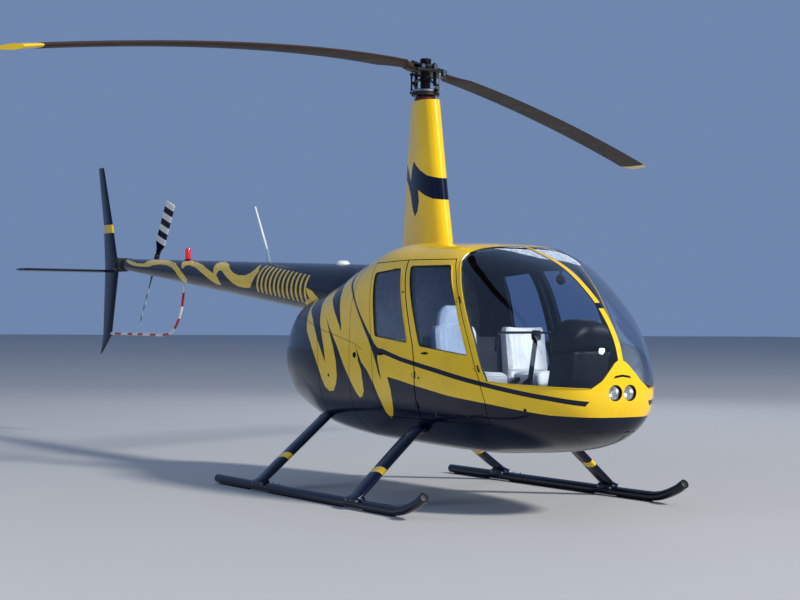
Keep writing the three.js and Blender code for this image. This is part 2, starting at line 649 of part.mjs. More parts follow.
function blade(drop) {
  const rings = BLADE_STATIONS.map(([share, width], i) => {
    const along = i === 0 ? BLADE_ROOT + GAP : share * ROTOR_RADIUS;
    const chord = ROTOR_CHORD * width;
    const thickness = i < 2 ? 52 : 32;
    const pitch = THREE.MathUtils.degToRad(BLADE_TWIST * (1 - share));
    const z = HUB_Z - drop * share * share;
    return foil(chord, thickness).map(([c, w]) => new THREE.Vector3(
      along,
      c * Math.cos(pitch) - w * Math.sin(pitch),
      z + c * Math.sin(pitch) + w * Math.cos(pitch),
    ));
  });
  return skin(rings);
}

const halfTurn = new THREE.Matrix4().makeRotationZ(Math.PI);
part("main_blade_near", blade(BLADE_DROP.near).applyMatrix4(rotor), "blade");
part("main_blade_far", blade(BLADE_DROP.far).applyMatrix4(halfTurn).applyMatrix4(rotor), "blade");

// Tail cone with its beacon, aerials and end frame
let tailCone = tailConeSolid(0);
tailCone = tailCone.subtract(fairingCut);
const BEACON_X = -4191;
const WHIP = { foot: [-2520, 0, 1760], knee: [-2560, 0, 1900], tip: [-2800, 0, 2281], footRadius: 11, tipRadius: 6 };
const PUCK_X = -1225;
tailCone = tailCone.add(solid(rod([BEACON_X, 0, 1800], [BEACON_X, 0, 1893], 34, 16)));
tailCone = tailCone.add(solid(rod([BEACON_X, 0, 1880], [BEACON_X, 0, 1955], 27, 16)));
tailCone = tailCone.add(solid(rod(WHIP.foot, WHIP.knee, WHIP.footRadius, 8)));
tailCone = tailCone.add(solid(rod([WHIP.knee[0] + 4, 0, WHIP.knee[2] - 20], WHIP.tip, WHIP.tipRadius, 6)));
const puck = turned([[0, 1700], [55, 1700], [55, 1756], [34, 1772], [0, 1772]], 20);
tailCone = tailCone.add(solid(puck.translate(PUCK_X, 0, 0)));
part("tail_cone", geometryOf(tailCone), "black");

// Tail gearbox, tail rotor
const [HUB_X, HUB_Y, TAIL_HUB_Z] = TAIL_HUB;
const TAIL_SHAFT = 16;
function gearboxSolid(grow) {
  let body = solid(rod([-5600 - GAP + grow, 0, 1820], [-5700, 0, 1820], 55 + grow, 16));
  body = body.add(solid(rod([-5690, 0, 1826], [HUB_X - 60 - grow, 0, TAIL_HUB_Z], 70 + grow, 20)));
  body = body.add(solid(rod([HUB_X, -60 - grow, TAIL_HUB_Z], [HUB_X, 150 + grow, TAIL_HUB_Z], 64 + grow, 20)));
  body = body.add(solid(rod([HUB_X, 140, TAIL_HUB_Z], [HUB_X, 330 + grow, TAIL_HUB_Z], 34 + grow, 20)));
  return body;
}
const gearbox = gearboxSolid(0).subtract(solid(rod([HUB_X, 290, TAIL_HUB_Z], [HUB_X, 340, TAIL_HUB_Z], TAIL_SHAFT + GAP + 0.2, 24)));
part("tail_gearbox", geometryOf(gearbox), "iron");

const lean = new THREE.Matrix4().makeTranslation(HUB_X, 0, TAIL_HUB_Z)
  .multiply(new THREE.Matrix4().makeRotationY(THREE.MathUtils.degToRad(TAIL_ROTOR_LEAN)));
let tailHub = solid(rod([0, 292, 0], [0, HUB_Y + 30, 0], TAIL_SHAFT, 24));
tailHub = tailHub.add(solid(rod([0, 345, 0], [0, 372, 0], 46, 20)));
tailHub = tailHub.add(solid(box(-26, 26, HUB_Y - 22, HUB_Y + 22, -130 + GAP, 130 - GAP)));
for (const side of [-1, 1]) {
  tailHub = tailHub.add(solid(rod([34, 362, side * 60], [34, HUB_Y, side * 60], 6, 8)));
  tailHub = tailHub.add(solid(box(10, 44, HUB_Y - 8, HUB_Y + 8, side * 60 - 12, side * 60 + 12)));
}
part("tail_rotor_hub", geometryOf(tailHub).applyMatrix4(lean), "steel");

function tailBlade() {
  const rings = [[130, 0.45], [185, 0.55], [250, 1], [500, 1], [TAIL_ROTOR_RADIUS - 12, 1], [TAIL_ROTOR_RADIUS, 0.9]]
    .map(([along, width]) => foil(TAIL_ROTOR_CHORD * width, 17).map(([c, w]) => new THREE.Vector3(c, HUB_Y + w, along)));
  return skin(rings);
}
const flip = new THREE.Matrix4().makeRotationY(Math.PI);
part("tail_blade_upper", tailBlade().applyMatrix4(lean), "stripes");
part("tail_blade_lower", tailBlade().applyMatrix4(flip).applyMatrix4(lean), "stripes");

// Fin. Columns: z, tail x, nose x, thickness
const FIN_ROWS = [
  [895, -6336, -6316, 8], [925, -6322, -6262, 16], [1101, -6262, -6034, 28], [1740, -6228, -5884, 44],
  [1790, -6228, -5880, 44], [2262, -6280, -6052, 34], [2820, -6426, -6282, 20], [2855, -6430, -6300, 12],
];
function finSolid(grow) {
  return solid(skin(FIN_ROWS.map(([z, tail, nose, thickness]) => foilRing(tail - grow, nose + grow, thickness + 2 * grow, z))));
}
part("vertical_fin", geometryOf(finSolid(0).subtract(gearboxSolid(GAP))), "black");

const stabilizerRings = [[0, 1], [-880, 1], [-925, 0.8]].map(([y, width]) => (
  foil(290 * width, 34 * width).map(([c, w]) => new THREE.Vector3(-6110 - 145 + c, y, 1764 + w))
));
part("horizontal_stabilizer", geometryOf(solid(skin(stabilizerRings)).subtract(finSolid(GAP))
  .intersect(solid(box(-6500, -6000, -1000, -8, 1700, 1800)))), "black");

const guardPath = [
  [-4278, 0, 1640], [-4280, 0, 1560], [-4293, 0, 1470], [-4335, 0, 1350], [-4430, 0, 1222], [-4560, 0, 1142],
  [-4740, 0, 1116], [-5100, 0, 1114], [-5600, 0, 1114], [-6100, 0, 1114],
];
const guard = solid(tube(guardPath, 13, 24, 6)).subtract(tailConeSolid(GAP)).subtract(finSolid(GAP))
  .intersect(solid(box(-6040, -4200, -50, 50, 1000, 1640)));
part("tail_guard", geometryOf(guard), "red");

// Landing gear
for (const [name, body] of crossTubes) {
  part(`cross_tube_${name}`, geometryOf(body), "black");
}
part("skid_right", geometryOf(skid(-1)), "black");
part("skid_left", geometryOf(skid(1)), "black");

// Seats. Front pair then rear pair; columns: back of the seat x, cushion length, shoulder z, top of the headrest z.
// The rear seats have no headrests, so both heights are the same.
const SEATS = { front: [800, 470, 1268, 1420], rear: [-46, 440, 1170, 1170] };
const SEAT_INNER = 110;
const SEAT_OUTER = 490;
const SEAT_MIDDLE = (SEAT_INNER + SEAT_OUTER) / 2;
const SEAT_SHOULDER = 36; // bevel of a back's upper corners
const HEADREST = { half: 146, topHalf: 98, crown: 56, bevel: 16 };
const CUSHION_Z = 840;
const CUSHION = 95;
const BACK_FOOT = 178; // from the back of the seat to the front of its back cushion's foot
const BASE_MARGIN = 20;
const SLOT_START = 90; // room between the two seats for the collective levers, from the back of the seat
for (const [row, [back, length, shoulder, top]] of Object.entries(SEATS)) {
  const front = back + length + 60;
  const panelTop = shoulder - 88;
  const side = SEAT_OUTER + BASE_MARGIN;
  let base = solid(box(back, front, -side, side, FLOOR_Z + GAP, CUSHION_Z));
  base = base.add(solid(sidePrism(
    [[back, CUSHION_Z - 20], [back + 62, CUSHION_Z - 20], [back + 22, panelTop], [back, panelTop]], -side, side)));
  const slotHalf = SEAT_INNER - 40;
  base = base.subtract(solid(box(back + SLOT_START, front + 5, -slotHalf, slotHalf, FLOOR_Z - 5, CUSHION_Z + 5)));
  const roomy = bodySolid(WALL + DOOR_GAP + POST_DEPTH + 9);
  part(`seat_base_${row}`, geometryOf(base.intersect(roomy)), "trim");
  const backOutline = [
    [back + 62 + GAP + 1, CUSHION_Z + GAP], [back + BACK_FOOT, CUSHION_Z + GAP], [back + BACK_FOOT - 18, CUSHION_Z + CUSHION],
    [back + 96, shoulder], [back + 80, top], [back + 26, top], [back + 22 + GAP + 1, panelTop],
  ];
  const faceOutline = [
    [SEAT_INNER, CUSHION_Z], [SEAT_INNER, shoulder - SEAT_SHOULDER], [SEAT_INNER + SEAT_SHOULDER, shoulder],
  ];
  if (top > shoulder) {
    const { half, topHalf, crown, bevel } = HEADREST;
    faceOutline.push([SEAT_MIDDLE - half, shoulder], [SEAT_MIDDLE - topHalf, top - bevel], [SEAT_MIDDLE - crown, top],
      [SEAT_MIDDLE + crown, top], [SEAT_MIDDLE + topHalf, top - bevel], [SEAT_MIDDLE + half, shoulder]);
  }
  faceOutline.push([SEAT_OUTER - SEAT_SHOULDER, shoulder], [SEAT_OUTER, shoulder - SEAT_SHOULDER], [SEAT_OUTER, CUSHION_Z]);
  for (const [name, sign] of [["right", -1], ["left", 1]]) {
    const [y0, y1] = [sign * SEAT_INNER, sign * SEAT_OUTER].sort((a, b) => a - b);
    const seatTop = CUSHION_Z + CUSHION;
    const cushion = box(back + BACK_FOOT + 5, front - 10, y0, y1, CUSHION_Z + GAP, seatTop);
    part(`seat_cushion_${row}_${name}`, cushion, "leather");
    const frontOutline = faceOutline.map(([y, z]) => [sign * y, z]);
    const frontSolid = solid(outward(frontPrism(frontOutline, back, back + 300)));
    part(`seat_back_${row}_${name}`, geometryOf(solid(sidePrism(backOutline, y0, y1)).intersect(frontSolid)), "leather");
  }
}

// Controls
const PEDESTAL = [
  [1700, FLOOR_Z + GAP], [1990, FLOOR_Z + GAP], [2060, 900], [2080, 1110], [2130, 1245], [2085, 1300], [1840, 1305],
  [1800, 1280], [1815, 1100], [1760, 860],
];
const PEDESTAL_HALF = 150;
// Hood over the instruments, from the side as [x, z] and from the front as [y, z]
const HOOD = [[1815, 1070], [2078, 1100], [2130, 1245], [2085, 1300], [1950, 1312], [1840, 1308], [1800, 1285]];
const HOOD_HALF = 205;
const HOOD_FACE = [
  [-HOOD_HALF, 1060], [-HOOD_HALF, 1225], [-180, 1275], [-120, 1303], [-40, 1313], [40, 1313], [120, 1303], [180, 1275],
  [HOOD_HALF, 1225], [HOOD_HALF, 1060],
];
const hoodFace = solid(outward(frontPrism(HOOD_FACE, 1700, 2200)));
let consoleBody = solid(sidePrism(PEDESTAL, -PEDESTAL_HALF, PEDESTAL_HALF)).intersect(
  solid(box(1600, 2200, -HOOD_HALF, HOOD_HALF, FLOOR_Z, 1150)));
consoleBody = consoleBody.add(solid(sidePrism(HOOD, -HOOD_HALF, HOOD_HALF)).intersect(hoodFace));
part("instrument_console", geometryOf(consoleBody.intersect(bodySolid(WALL + 10))), "trim");

const STICK = { footX: 1330, topX: 1452, topZ: 1205, radius: 15, hub: 30, reach: 330, grip: 15 };
let stick = solid(rod([STICK.footX, 0, FLOOR_Z + GAP], [STICK.footX, 0, FLOOR_Z + 40], 45, 16));
stick = stick.add(solid(rod([STICK.footX, 0, FLOOR_Z + 20], [STICK.topX, 0, STICK.topZ], STICK.radius, 8)));
stick = stick.add(solid(rod([STICK.topX, 0, STICK.topZ - 40], [STICK.topX, 0, STICK.topZ + 30], STICK.hub, 14)));
stick = stick.add(solid(rod([STICK.topX, -STICK.reach, STICK.topZ], [STICK.topX, STICK.reach, STICK.topZ], 12, 8)));
for (const side of [-1, 1]) {
  const y = side * (STICK.reach - 6);
  stick = stick.add(solid(rod([STICK.topX, y, STICK.topZ + 13], [STICK.topX - 12, y, STICK.topZ - 115], STICK.grip, 8)));
}
part("cyclic_stick", geometryOf(stick), "trim");

const LEVER = { pivotX: 930, pivotZ: 700, tipX: 1330, tipZ: 900, apart: 52, radius: 10, grip: 17 };
let levers = solid(rod([LEVER.pivotX, -60, LEVER.pivotZ], [LEVER.pivotX, 60, LEVER.pivotZ], 14));
levers = levers.add(solid(box(LEVER.pivotX - 30, LEVER.pivotX + 30, -30, 30, FLOOR_Z + GAP, LEVER.pivotZ + 5)));
for (const side of [-1, 1]) {
  const y = side * LEVER.apart;
  levers = levers.add(solid(rod([LEVER.pivotX, y, LEVER.pivotZ], [LEVER.tipX, y, LEVER.tipZ], LEVER.radius, 8)));
  levers = levers.add(solid(rod([LEVER.tipX - 100, y, LEVER.tipZ - 50], [LEVER.tipX + 20, y, LEVER.tipZ + 10], LEVER.grip, 8)));
}
part("collective_levers", geometryOf(levers), "trim");

// Centre the model over its footprint
const bounds = new THREE.Box3().setFromObject(model);
const middle = bounds.getCenter(new THREE.Vector3());
model.position.set(-middle.x, -middle.y, -bounds.min.z);
const root = new THREE.Group();
root.add(model);
root.updateMatrixWorld(true);

export default root;
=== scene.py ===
"""Light four-seat helicopter on skids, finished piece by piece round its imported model."""
import functools
import math

import bmesh
import bpy
from mathutils import Matrix, Vector
from mathutils.bvhtree import BVHTree


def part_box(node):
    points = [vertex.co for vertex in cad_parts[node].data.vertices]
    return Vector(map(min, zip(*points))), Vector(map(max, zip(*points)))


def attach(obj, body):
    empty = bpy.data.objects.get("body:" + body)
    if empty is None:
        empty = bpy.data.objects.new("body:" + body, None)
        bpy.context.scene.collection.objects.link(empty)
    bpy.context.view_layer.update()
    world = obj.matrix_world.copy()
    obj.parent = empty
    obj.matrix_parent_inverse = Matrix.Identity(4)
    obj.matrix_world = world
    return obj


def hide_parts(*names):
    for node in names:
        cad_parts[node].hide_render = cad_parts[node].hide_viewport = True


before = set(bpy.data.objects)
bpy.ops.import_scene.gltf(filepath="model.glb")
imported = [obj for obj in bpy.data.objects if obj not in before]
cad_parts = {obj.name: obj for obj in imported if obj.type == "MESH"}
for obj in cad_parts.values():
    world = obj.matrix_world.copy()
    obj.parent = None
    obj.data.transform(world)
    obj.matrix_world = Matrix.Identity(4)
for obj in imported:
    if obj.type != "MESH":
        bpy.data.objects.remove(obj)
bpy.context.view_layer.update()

bl_info = {
    "name": "Skid Helicopter",
    "version": (1, 0, 0),
    "blender": (4, 5, 0),
    "location": "View3D > Sidebar > Helicopter",
    "description": "Builds a light four-seat helicopter on skids, one group of pieces at a time",
    "category": "Add Mesh",
}

# Lengths below are millimetres. x = 0 and y = 0 are the rotor mast's axis, z = 0 is the ground, x points to
# the nose and y to the pilot's left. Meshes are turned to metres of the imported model's frame when finished.
MM = 0.001
MAST_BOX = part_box("swashplate_lower")
MAST_X = (MAST_BOX[0].x + MAST_BOX[1].x) / 2 / MM
TO_ROW = Matrix.Scale(MM, 4) @ Matrix.Translation((MAST_X, 0, 0))

# Camera, worked out from the photograph. Its place and direction are in the helicopter's own frame
PHOTO_SIZE = (800, 600)
CAMERA_PLACE = (11577, -7363, 1326)
CAMERA_FORWARD = (-0.8506, 0.5257, 0.0087)
CAMERA_ROLL = 0.549
CAMERA_FOCUS = 1811.6  # pixels
SENSOR = 36

# Stage, in metres. Its colours are linear
LIGHTS = [  # name, place, diameter, power in watts, colour
    ("key", (33.8, 12.1, 24.8), 5.7, 20300, (1, 0.98, 0.93)),
    ("fill", (4, -13, 6), 7, 420, (0.80, 0.89, 1)),
    ("back", (-9, 9, 8), 6, 350, (0.9, 0.95, 1)),
]
LIGHT_AIM = (1.2, 0, 1.3)
FLOOR_HALF = 90
FLOOR_COLOUR = (0.46, 0.45, 0.43, 1)
SKY_COLOUR = (0.38, 0.57, 1.0, 1)
SKY_STRENGTH = 0.42

# Body sections from tail to nose. Columns: x, half width, top, z of the widest place, bottom, and how square
# the section is above and below that place (2 is an ellipse).
BODY_ROWS = [
    (-1840, 10, 980, 960, 940, 2.0, 2.0),
    (-1810, 155, 1105, 970, 825, 2.0, 2.1),
    (-1700, 255, 1215, 990, 725, 2.2, 2.2),
    (-1520, 340, 1350, 1010, 635, 2.4, 2.4),
    (-1300, 440, 1470, 1020, 565, 2.6, 2.5),
    (-1020, 510, 1525, 1030, 500, 2.7, 2.7),
    (-660, 565, 1610, 1020, 445, 2.8, 3.2),
    (-200, 595, 1755, 1000, 400, 3.3, 3.0),
    (300, 625, 1858, 980, 385, 4.2, 2.8),
    (800, 640, 1848, 960, 375, 4.4, 2.7),
    (1200, 640, 1832, 950, 375, 3.8, 2.6),
    (1500, 625, 1765, 930, 395, 3.1, 2.5),
    (1800, 570, 1650, 910, 420, 2.5, 2.5),
    (2050, 497, 1490, 890, 460, 2.3, 2.4),
    (2220, 405, 1335, 870, 515, 2.15, 2.3),
    (2340, 297, 1165, 860, 590, 2.05, 2.2),
    (2395, 165, 985, 850, 715, 2.0, 2.0),
    (2408, 10, 860, 850, 840, 2.0, 2.0),
]
BODY_MIDDLE = (300, 0, 1000)
CELL = 20  # size of the body skin's faces
COLUMNS = 92  # faces from the crown to the keel
FIREWALL_X = -70
FLOOR_Z = 600
FLOOR_REAR = -66
FLOOR_FRONT = 2326
STRIP = 20  # half the width of the strip that joins the windshield halves
STRIP_WALL = 12
PANE_DEPTH = {"window": 4, "windshield": 2}  # how far each pane lies below the skin
NOSE_X = 2150  # the nose plate, its mark and the lamps lie ahead of this
REAR_X = -1700  # the fan's hole lies behind this
BAY_TOP = 800  # the exhaust bay lies below this

# Outlines seen from the right side, as (x, z)
WINDSHIELD_EDGE = [
    (1325, 1822), (1282, 1795), (1256, 1763), (1266, 1706), (1333, 1612), (1435, 1431), (1535, 1248),
    (1577, 1170), (1652, 989), (1703, 897),
]
WINDSHIELD_SILL = [(1831, 889), (2159, 877), (2371, 869), (2600, 866)]
WINDSHIELD = [*WINDSHIELD_EDGE, *WINDSHIELD_SILL, (2600, 2100), (1325, 2100)]
DOOR_SEAM = [(664, 1726), (774, 1400), (872, 1110), (896, 950), (896, 600)]
POST_CORNERS = [(-30, 42), (30, 42), (30, 66), (-30, 66)]  # of the post behind the seam: along, depth
DOORWAY_FRONT = [
    (1672, 600), (1688, 760), (1650, 897), (1606, 989), (1534, 1170), (1494, 1248), (1400, 1431),
    (1296, 1612), (1212, 1722),
]
DOORWAY_REAR = [(180, 1712), (228, 1450), (278, 1100), (312, 760), (420, 600)]
FRONT_DOOR_BOTTOM = 606
DOORWAY = [*DOORWAY_FRONT, DOOR_SEAM[0], *DOORWAY_REAR]
FRONT_DOOR = [(x, max(z, FRONT_DOOR_BOTTOM)) for x, z in [*DOOR_SEAM, *DOORWAY_FRONT]]
REAR_DOOR = [*DOOR_SEAM, *reversed(DOORWAY_REAR)]
FRONT_WINDOW = [(732, 1681), (1208, 1681), (1378, 1405), (1536, 1060), (954, 1113)]
REAR_WINDOW = [(243, 1640), (627, 1670), (806, 1132), (330, 1174)]
WINDOW_CORNER = 32
SIDES = {"right": -1, "left": 1}  # sign of y

# Livery on the body's side, as (x, z): the yellow field over the black one, and black shapes over the yellow
YELLOW_FIELD = [
    (-1060, 1600), (-960, 1370), (-890, 1250), (-865, 1205), (-765, 1115), (-675, 1010), (-595, 915),
    (-545, 845), (-490, 780), (-425, 748), (-350, 755), (-300, 810), (-280, 870), (-295, 975), (-345, 1085),
    (-405, 1180), (-460, 1255), (-492, 1305), (-440, 1250), (-365, 1180), (-290, 1105), (-170, 960),
    (-55, 840), (20, 760), (75, 720), (120, 735), (150, 775), (145, 835), (125, 925), (75, 990), (50, 1055),
    (10, 1150), (-18, 1215), (30, 1100), (125, 985), (225, 920), (320, 825), (390, 710), (420, 630),
    (455, 592), (500, 605), (545, 660), (562, 720), (560, 800), (535, 860), (520, 890), (695, 870),
    (880, 843), (1060, 820), (1315, 787), (1500, 770), (1729, 748), (2165, 694), (2370, 684), (2500, 684),
    (2500, 2200), (-1060, 2200),
]
REAR_NOTCH = [
    (-1000, 1600), (-920, 1370), (-775, 1290), (-685, 1205), (-610, 1120), (-535, 1035), (-478, 962),
    (-487, 1015), (-510, 1090), (-555, 1185), (-610, 1270), (-645, 1345), (-690, 1405), (-760, 1600),
]
SPIKE = [
    (-560, 1660), (-495, 1455), (-400, 1380), (-330, 1320), (-260, 1255), (-215, 1200), (-222, 1250),
    (-260, 1340), (-300, 1425), (-345, 1520), (-400, 1660),
]
WEDGE = [
    (-300, 1760), (-205, 1565), (-95, 1485), (15, 1385), (120, 1275), (225, 1160), (300, 1065), (355, 980),
    (392, 908), (432, 862), (418, 905), (398, 952), (380, 1000), (374, 1032), (392, 1052), (430, 1055),
    (711, 1003), (1200, 933), (1707, 857), (2186, 786), (2352, 756), (2368, 788), (2186, 818), (1707, 889),
    (1200, 966), (711, 1035), (450, 1088), (385, 1092), (330, 1122), (280, 1168), (195, 1245), (100, 1330),
    (5, 1420), (-70, 1495), (-155, 1565), (-240, 1760),
]
BLACK_SHAPES = [REAR_NOTCH, SPIKE, WEDGE]
# The yellow plate round the lamps and the mark above them, right half from the front, as (y, z)
NOSE_PLATE = [(-236, 868), (-160, 918), (-100, 982), (-48, 1036), (0, 1062)]
NOSE_MARK = [(0, 961), (-58, 953), (-74, 934), (-58, 938), (0, 946)]
LAMP_Y = 60
LAMP_Z = 842
LAMP_RADIUS = 50
FAN_Z = 965
FAN_HOLE = 150
EXHAUST_BAY = (-1330, -900, 210)  # rear x, front x, half width
STRIP_BAND = (1388, 1424)  # black band on the windshield strip, z

# Tail cone. Columns: x, top, bottom
TAIL_CONE_ROWS = [(-420, 1716, 1300), (-980, 1736, 1296), (-1900, 1765, 1379), (-5600, 1880, 1760)]
TAIL_CONE_FRONT = -560
TAIL_CONE_REAR = -5600
# Ribbons along the tail cone, seen from the right side, as (x, z)
TAIL_RIBBONS = [
    [
        (-5605, 1872), (-5432, 1854), (-5237, 1826), (-5063, 1820), (-5009, 1848), (-4920, 1857),
        (-4697, 1850), (-4555, 1842), (-4318, 1812), (-4173, 1764), (-4108, 1731), (-4030, 1692),
        (-3993, 1645), (-4125, 1610), (-4160, 1619), (-4157, 1656), (-4198, 1694), (-4247, 1733),
        (-4332, 1766), (-4483, 1793), (-4656, 1805), (-4810, 1799), (-4935, 1785), (-5148, 1790),
        (-5329, 1805), (-5464, 1828),
    ],
    [
        (-4143, 1789), (-4178, 1818), (-4160, 1828), (-4054, 1826), (-3849, 1810), (-3668, 1780),
        (-3490, 1733), (-3348, 1694), (-3253, 1662), (-3202, 1589), (-3283, 1590), (-3366, 1615),
        (-3467, 1653), (-3587, 1697), (-3692, 1730), (-3813, 1763), (-3966, 1785), (-4041, 1780),
        (-4065, 1752), (-4099, 1756),
    ],
    [
        (-3392, 1756), (-3404, 1783), (-3385, 1802), (-3291, 1802), (-3134, 1776), (-3031, 1731),
        (-2924, 1693), (-2800, 1670), (-2664, 1668), (-2566, 1693), (-2525, 1722), (-2514, 1758),
        (-2490, 1758), (-2430, 1697), (-2468, 1651), (-2512, 1605), (-2573, 1559), (-2677, 1558),
        (-2815, 1571), (-2915, 1598), (-3018, 1641), (-3096, 1678), (-3177, 1715), (-3236, 1724),
        (-3267, 1705), (-3283, 1668), (-3298, 1663), (-3348, 1694),
    ],
    [
        (-1471, 1550), (-1365, 1522), (-1281, 1462), (-1442, 1419), (-1572, 1408), (-1572, 1430),
        (-1442, 1462), (-1466, 1506),
    ],
]
# Plain slanted bars below the ribbons
BAR_COUNT = 12
BAR_FIRST = (-2440, 1520)
BAR_STEP = (82, -9)
BAR_WIDTH = 34
BAR_RISE = 232
BAR_SLANT = 52
BEACON_X = -4191
BEACON_BASE = [(0, -40), (34, -40), (32, 6), (27, 12), (0, 12)]  # radius, height above the tail cone
BEACON_LENS = [(27, 1938), (23, 1949), (12, 1955), (0, 1955)]  # radius, z
WHIP = [(-2514, 0, 1762), (-2560, 0, 1900), (-2552, 0, 1880), (-2800, 0, 2281)]  # ends of its foot and rod
WHIP_PLATE = (-2515, 0, 1778)
DISC_AERIAL_X = -1225
DISC_AERIAL = [(0, 1728), (56, 1728), (55, 1752), (46, 1764), (28, 1771), (0, 1772)]  # radius, z

# Mast fairing. Columns: z, tail x, nose x, thickness
FAIRING_ROWS = [
    (1700, -320, 372, 190), (1900, -300, 352, 184), (2200, -268, 290, 172), (2955, -200, 152, 150),
]
FAIRING_RINGS = 64
SWOOSH = [
    (-50, 2500), (0, 2462), (60, 2425), (160, 2378), (255, 2356), (440, 2345), (440, 2192), (315, 2190),
    (230, 2200), (140, 2230), (38, 2276), (55, 2190), (35, 2115), (-10, 2075), (-45, 2120), (-70, 2165),
    (-100, 2240), (-160, 2320), (-215, 2370), (-215, 2490), (-150, 2420), (-110, 2350), (-85, 2440),
]

# Main rotor
ROTOR_RADIUS = 5030
ROTOR_CHORD = 260
ROTOR_AZIMUTH = -57.44
HUB_Z = 3190
BLADE_STATIONS = [  # share of the radius, share of the chord
    (0.0597, 0.36), (0.08, 0.42), (0.115, 1), (0.3, 1), (0.5, 1), (0.7, 1), (0.85, 1), (0.985, 1), (1, 0.82),
]
BLADE_THICKNESS = (52, 32)  # at the root fitting and from there outwards
BLADE_DROP = {"near": 518, "far": 346}  # how far each tip hangs below the hub
BLADE_SAG = 1.6  # power of the droop's curve
BLADE_TWIST = 5  # degrees from the root to the tip
BLADE_TIP_PAINT = 0.973  # share of the radius where the yellow tip starts

# Rotor head, its blades along x. Turned shapes are (radius, z)
COLLAR = [(41, 2956), (78, 2956), (84, 2962), (84, 2980), (60, 2984), (60, 2992), (41, 2992)]
FIXED_PLATE = [(50, 2993), (104, 2993), (108, 2997), (108, 3012), (104, 3016), (50, 3016)]
TURNING_PLATE = [
    (42, 3018), (100, 3018), (104, 3022), (104, 3036), (98, 3040), (70, 3040), (62, 3039), (42, 3039),
]
MAST_SHAFT = [
    (0, 2958), (38, 2958), (38, 3100), (46, 3106), (46, 3126), (38, 3132), (38, 3236), (42, 3242), (42, 3270),
    (36, 3276), (0, 3276.5),
]
LINK = (46, 138)  # x and y of a pitch link
LINK_Z = 3029
LINK_LENGTH = 139
SCISSORS = [(-70, 40, 3038), (-96, 56, 3082), (-38, 20, 3118)]  # joints of the scissor link
HUB_EDGE = [(-300, 44), (-240, 50), (-120, 66), (0, 68), (120, 66), (240, 50), (300, 44)]
HUB_PLATES = [(3163, 3180), (3200, 3217)]  # bottom and top of each
HUB_GAP = (3178, 3202)  # the spacers between the plates
TEETER_Z = 3210
PITCH_HORN = [
    (250, 44), (262, 60), (120, 138), (52, 154), (34, 148), (30, 132), (44, 122), (96, 104), (170, 60),
]
DROOP_WIRE = [(60, -40, 3160), (96, -54, 3150), (132, -50, 3162)]

# Tail rotor, fin, stabiliser and guard
TAIL_ROTOR_RADIUS = 737
TAIL_ROTOR_CHORD = 130
TAIL_ROTOR_LEAN = 31.2
TAIL_HUB = (-5880, 410, 1833)
TAIL_BANDS = 8
TAIL_BAND = 68
TAIL_PITCH = 24
TAIL_BLADE_ROWS = [  # distance from the hub, share of the chord, thickness
    (132, 0.45, 24), (185, 0.55, 20), (250, 1, 17), (400, 1, 16), (560, 1, 15), (725, 1, 14), (736, 0.9, 9),
]
TAIL_CASE = [  # radius, distance behind the cone's end
    (0, 0), (54, 0), (54, 12), (48, 18), (48, 78), (58, 90), (69, 96), (69, 118), (64, 124), (64, 200),
    (69, 206), (69, 226), (62, 234), (62, 306), (56, 330), (0, 336),
]
TAIL_CASE_PLACE = (-5602, 0, 1820)
TAIL_OUTPUT = [  # radius, y
    (0, -58), (44, -58), (56, -48), (63, -30), (63, 96), (58, 104), (58, 118), (63, 124), (63, 140),
    (52, 149), (36, 152), (33, 170), (33, 328), (0, 329),
]
TAIL_SHAFT = [  # radius, y
    (0, 331), (16, 331), (16, 344), (44, 346), (46, 350), (46, 366), (42, 372), (22, 373), (16, 378),
    (16, 436), (12, 440), (0, 440),
]
COOLING_RIBS = (-5800, -5785, -5770)  # x
FIN_ROWS = [
    (895, -6336, -6316, 8), (925, -6322, -6262, 16), (1101, -6262, -6034, 28), (1740, -6228, -5884, 44),
    (1790, -6228, -5880, 44), (2262, -6280, -6052, 34), (2820, -6426, -6282, 20), (2855, -6430, -6300, 12),
]
FIN_BAND = (2160, 2246)
STABILISER_ROOT = 8
STABILISER_TIP = 925
STABILISER_AXIS = (-6255, 1764)
STABILISER_FOIL = (290, 34)  # chord and thickness
STABILISER_TAPER = (880, 0.2)  # where it starts to narrow, and the share that it has lost at the tip
GUARD_PATH = [
    (-4278, 0, 1652), (-4280, 0, 1560), (-4293, 0, 1470), (-4335, 0, 1350), (-4430, 0, 1222),
    (-4560, 0, 1142), (-4740, 0, 1116), (-5100, 0, 1114), (-5600, 0, 1114), (-6040, 0, 1114),
]
GUARD_RADIUS = 13
GUARD_BAND = 120

# Landing gear
TRACK = 2184
SKID_RADIUS = 34
# Cross tubes from the right skid's foot to the middle. Columns: x, y to the right, z, chord, thickness
STRUTS = {
    "front": [
        (872, 1137, 44, 168, 50), (842, 637, 490, 168, 50), (839, 545, 530, 168, 50), (838, 470, 545, 60, 50),
        (838, 300, 548, 60, 50),
    ],
    "rear": [
        (-529, 1144, 44, 168, 50), (-610, 565, 490, 168, 50), (-621, 481, 555, 168, 50),
        (-626, 400, 594, 60, 50), (-626, 300, 598, 60, 50),
    ],
}
STRUT_BAND = (233, 266)  # z of the yellow band round each strut
FOOT_Z = 84
SKID_PATH = [
    (-1250, 40), (-600, 40), (400, 40), (1250, 40), (1470, 50), (1640, 102), (1745, 158),
]
SHOES = [(-1180, -700), (-380, 700), (1000, 1380)]  # rear x, front x
WHEEL_PEGS = [-334, -238]

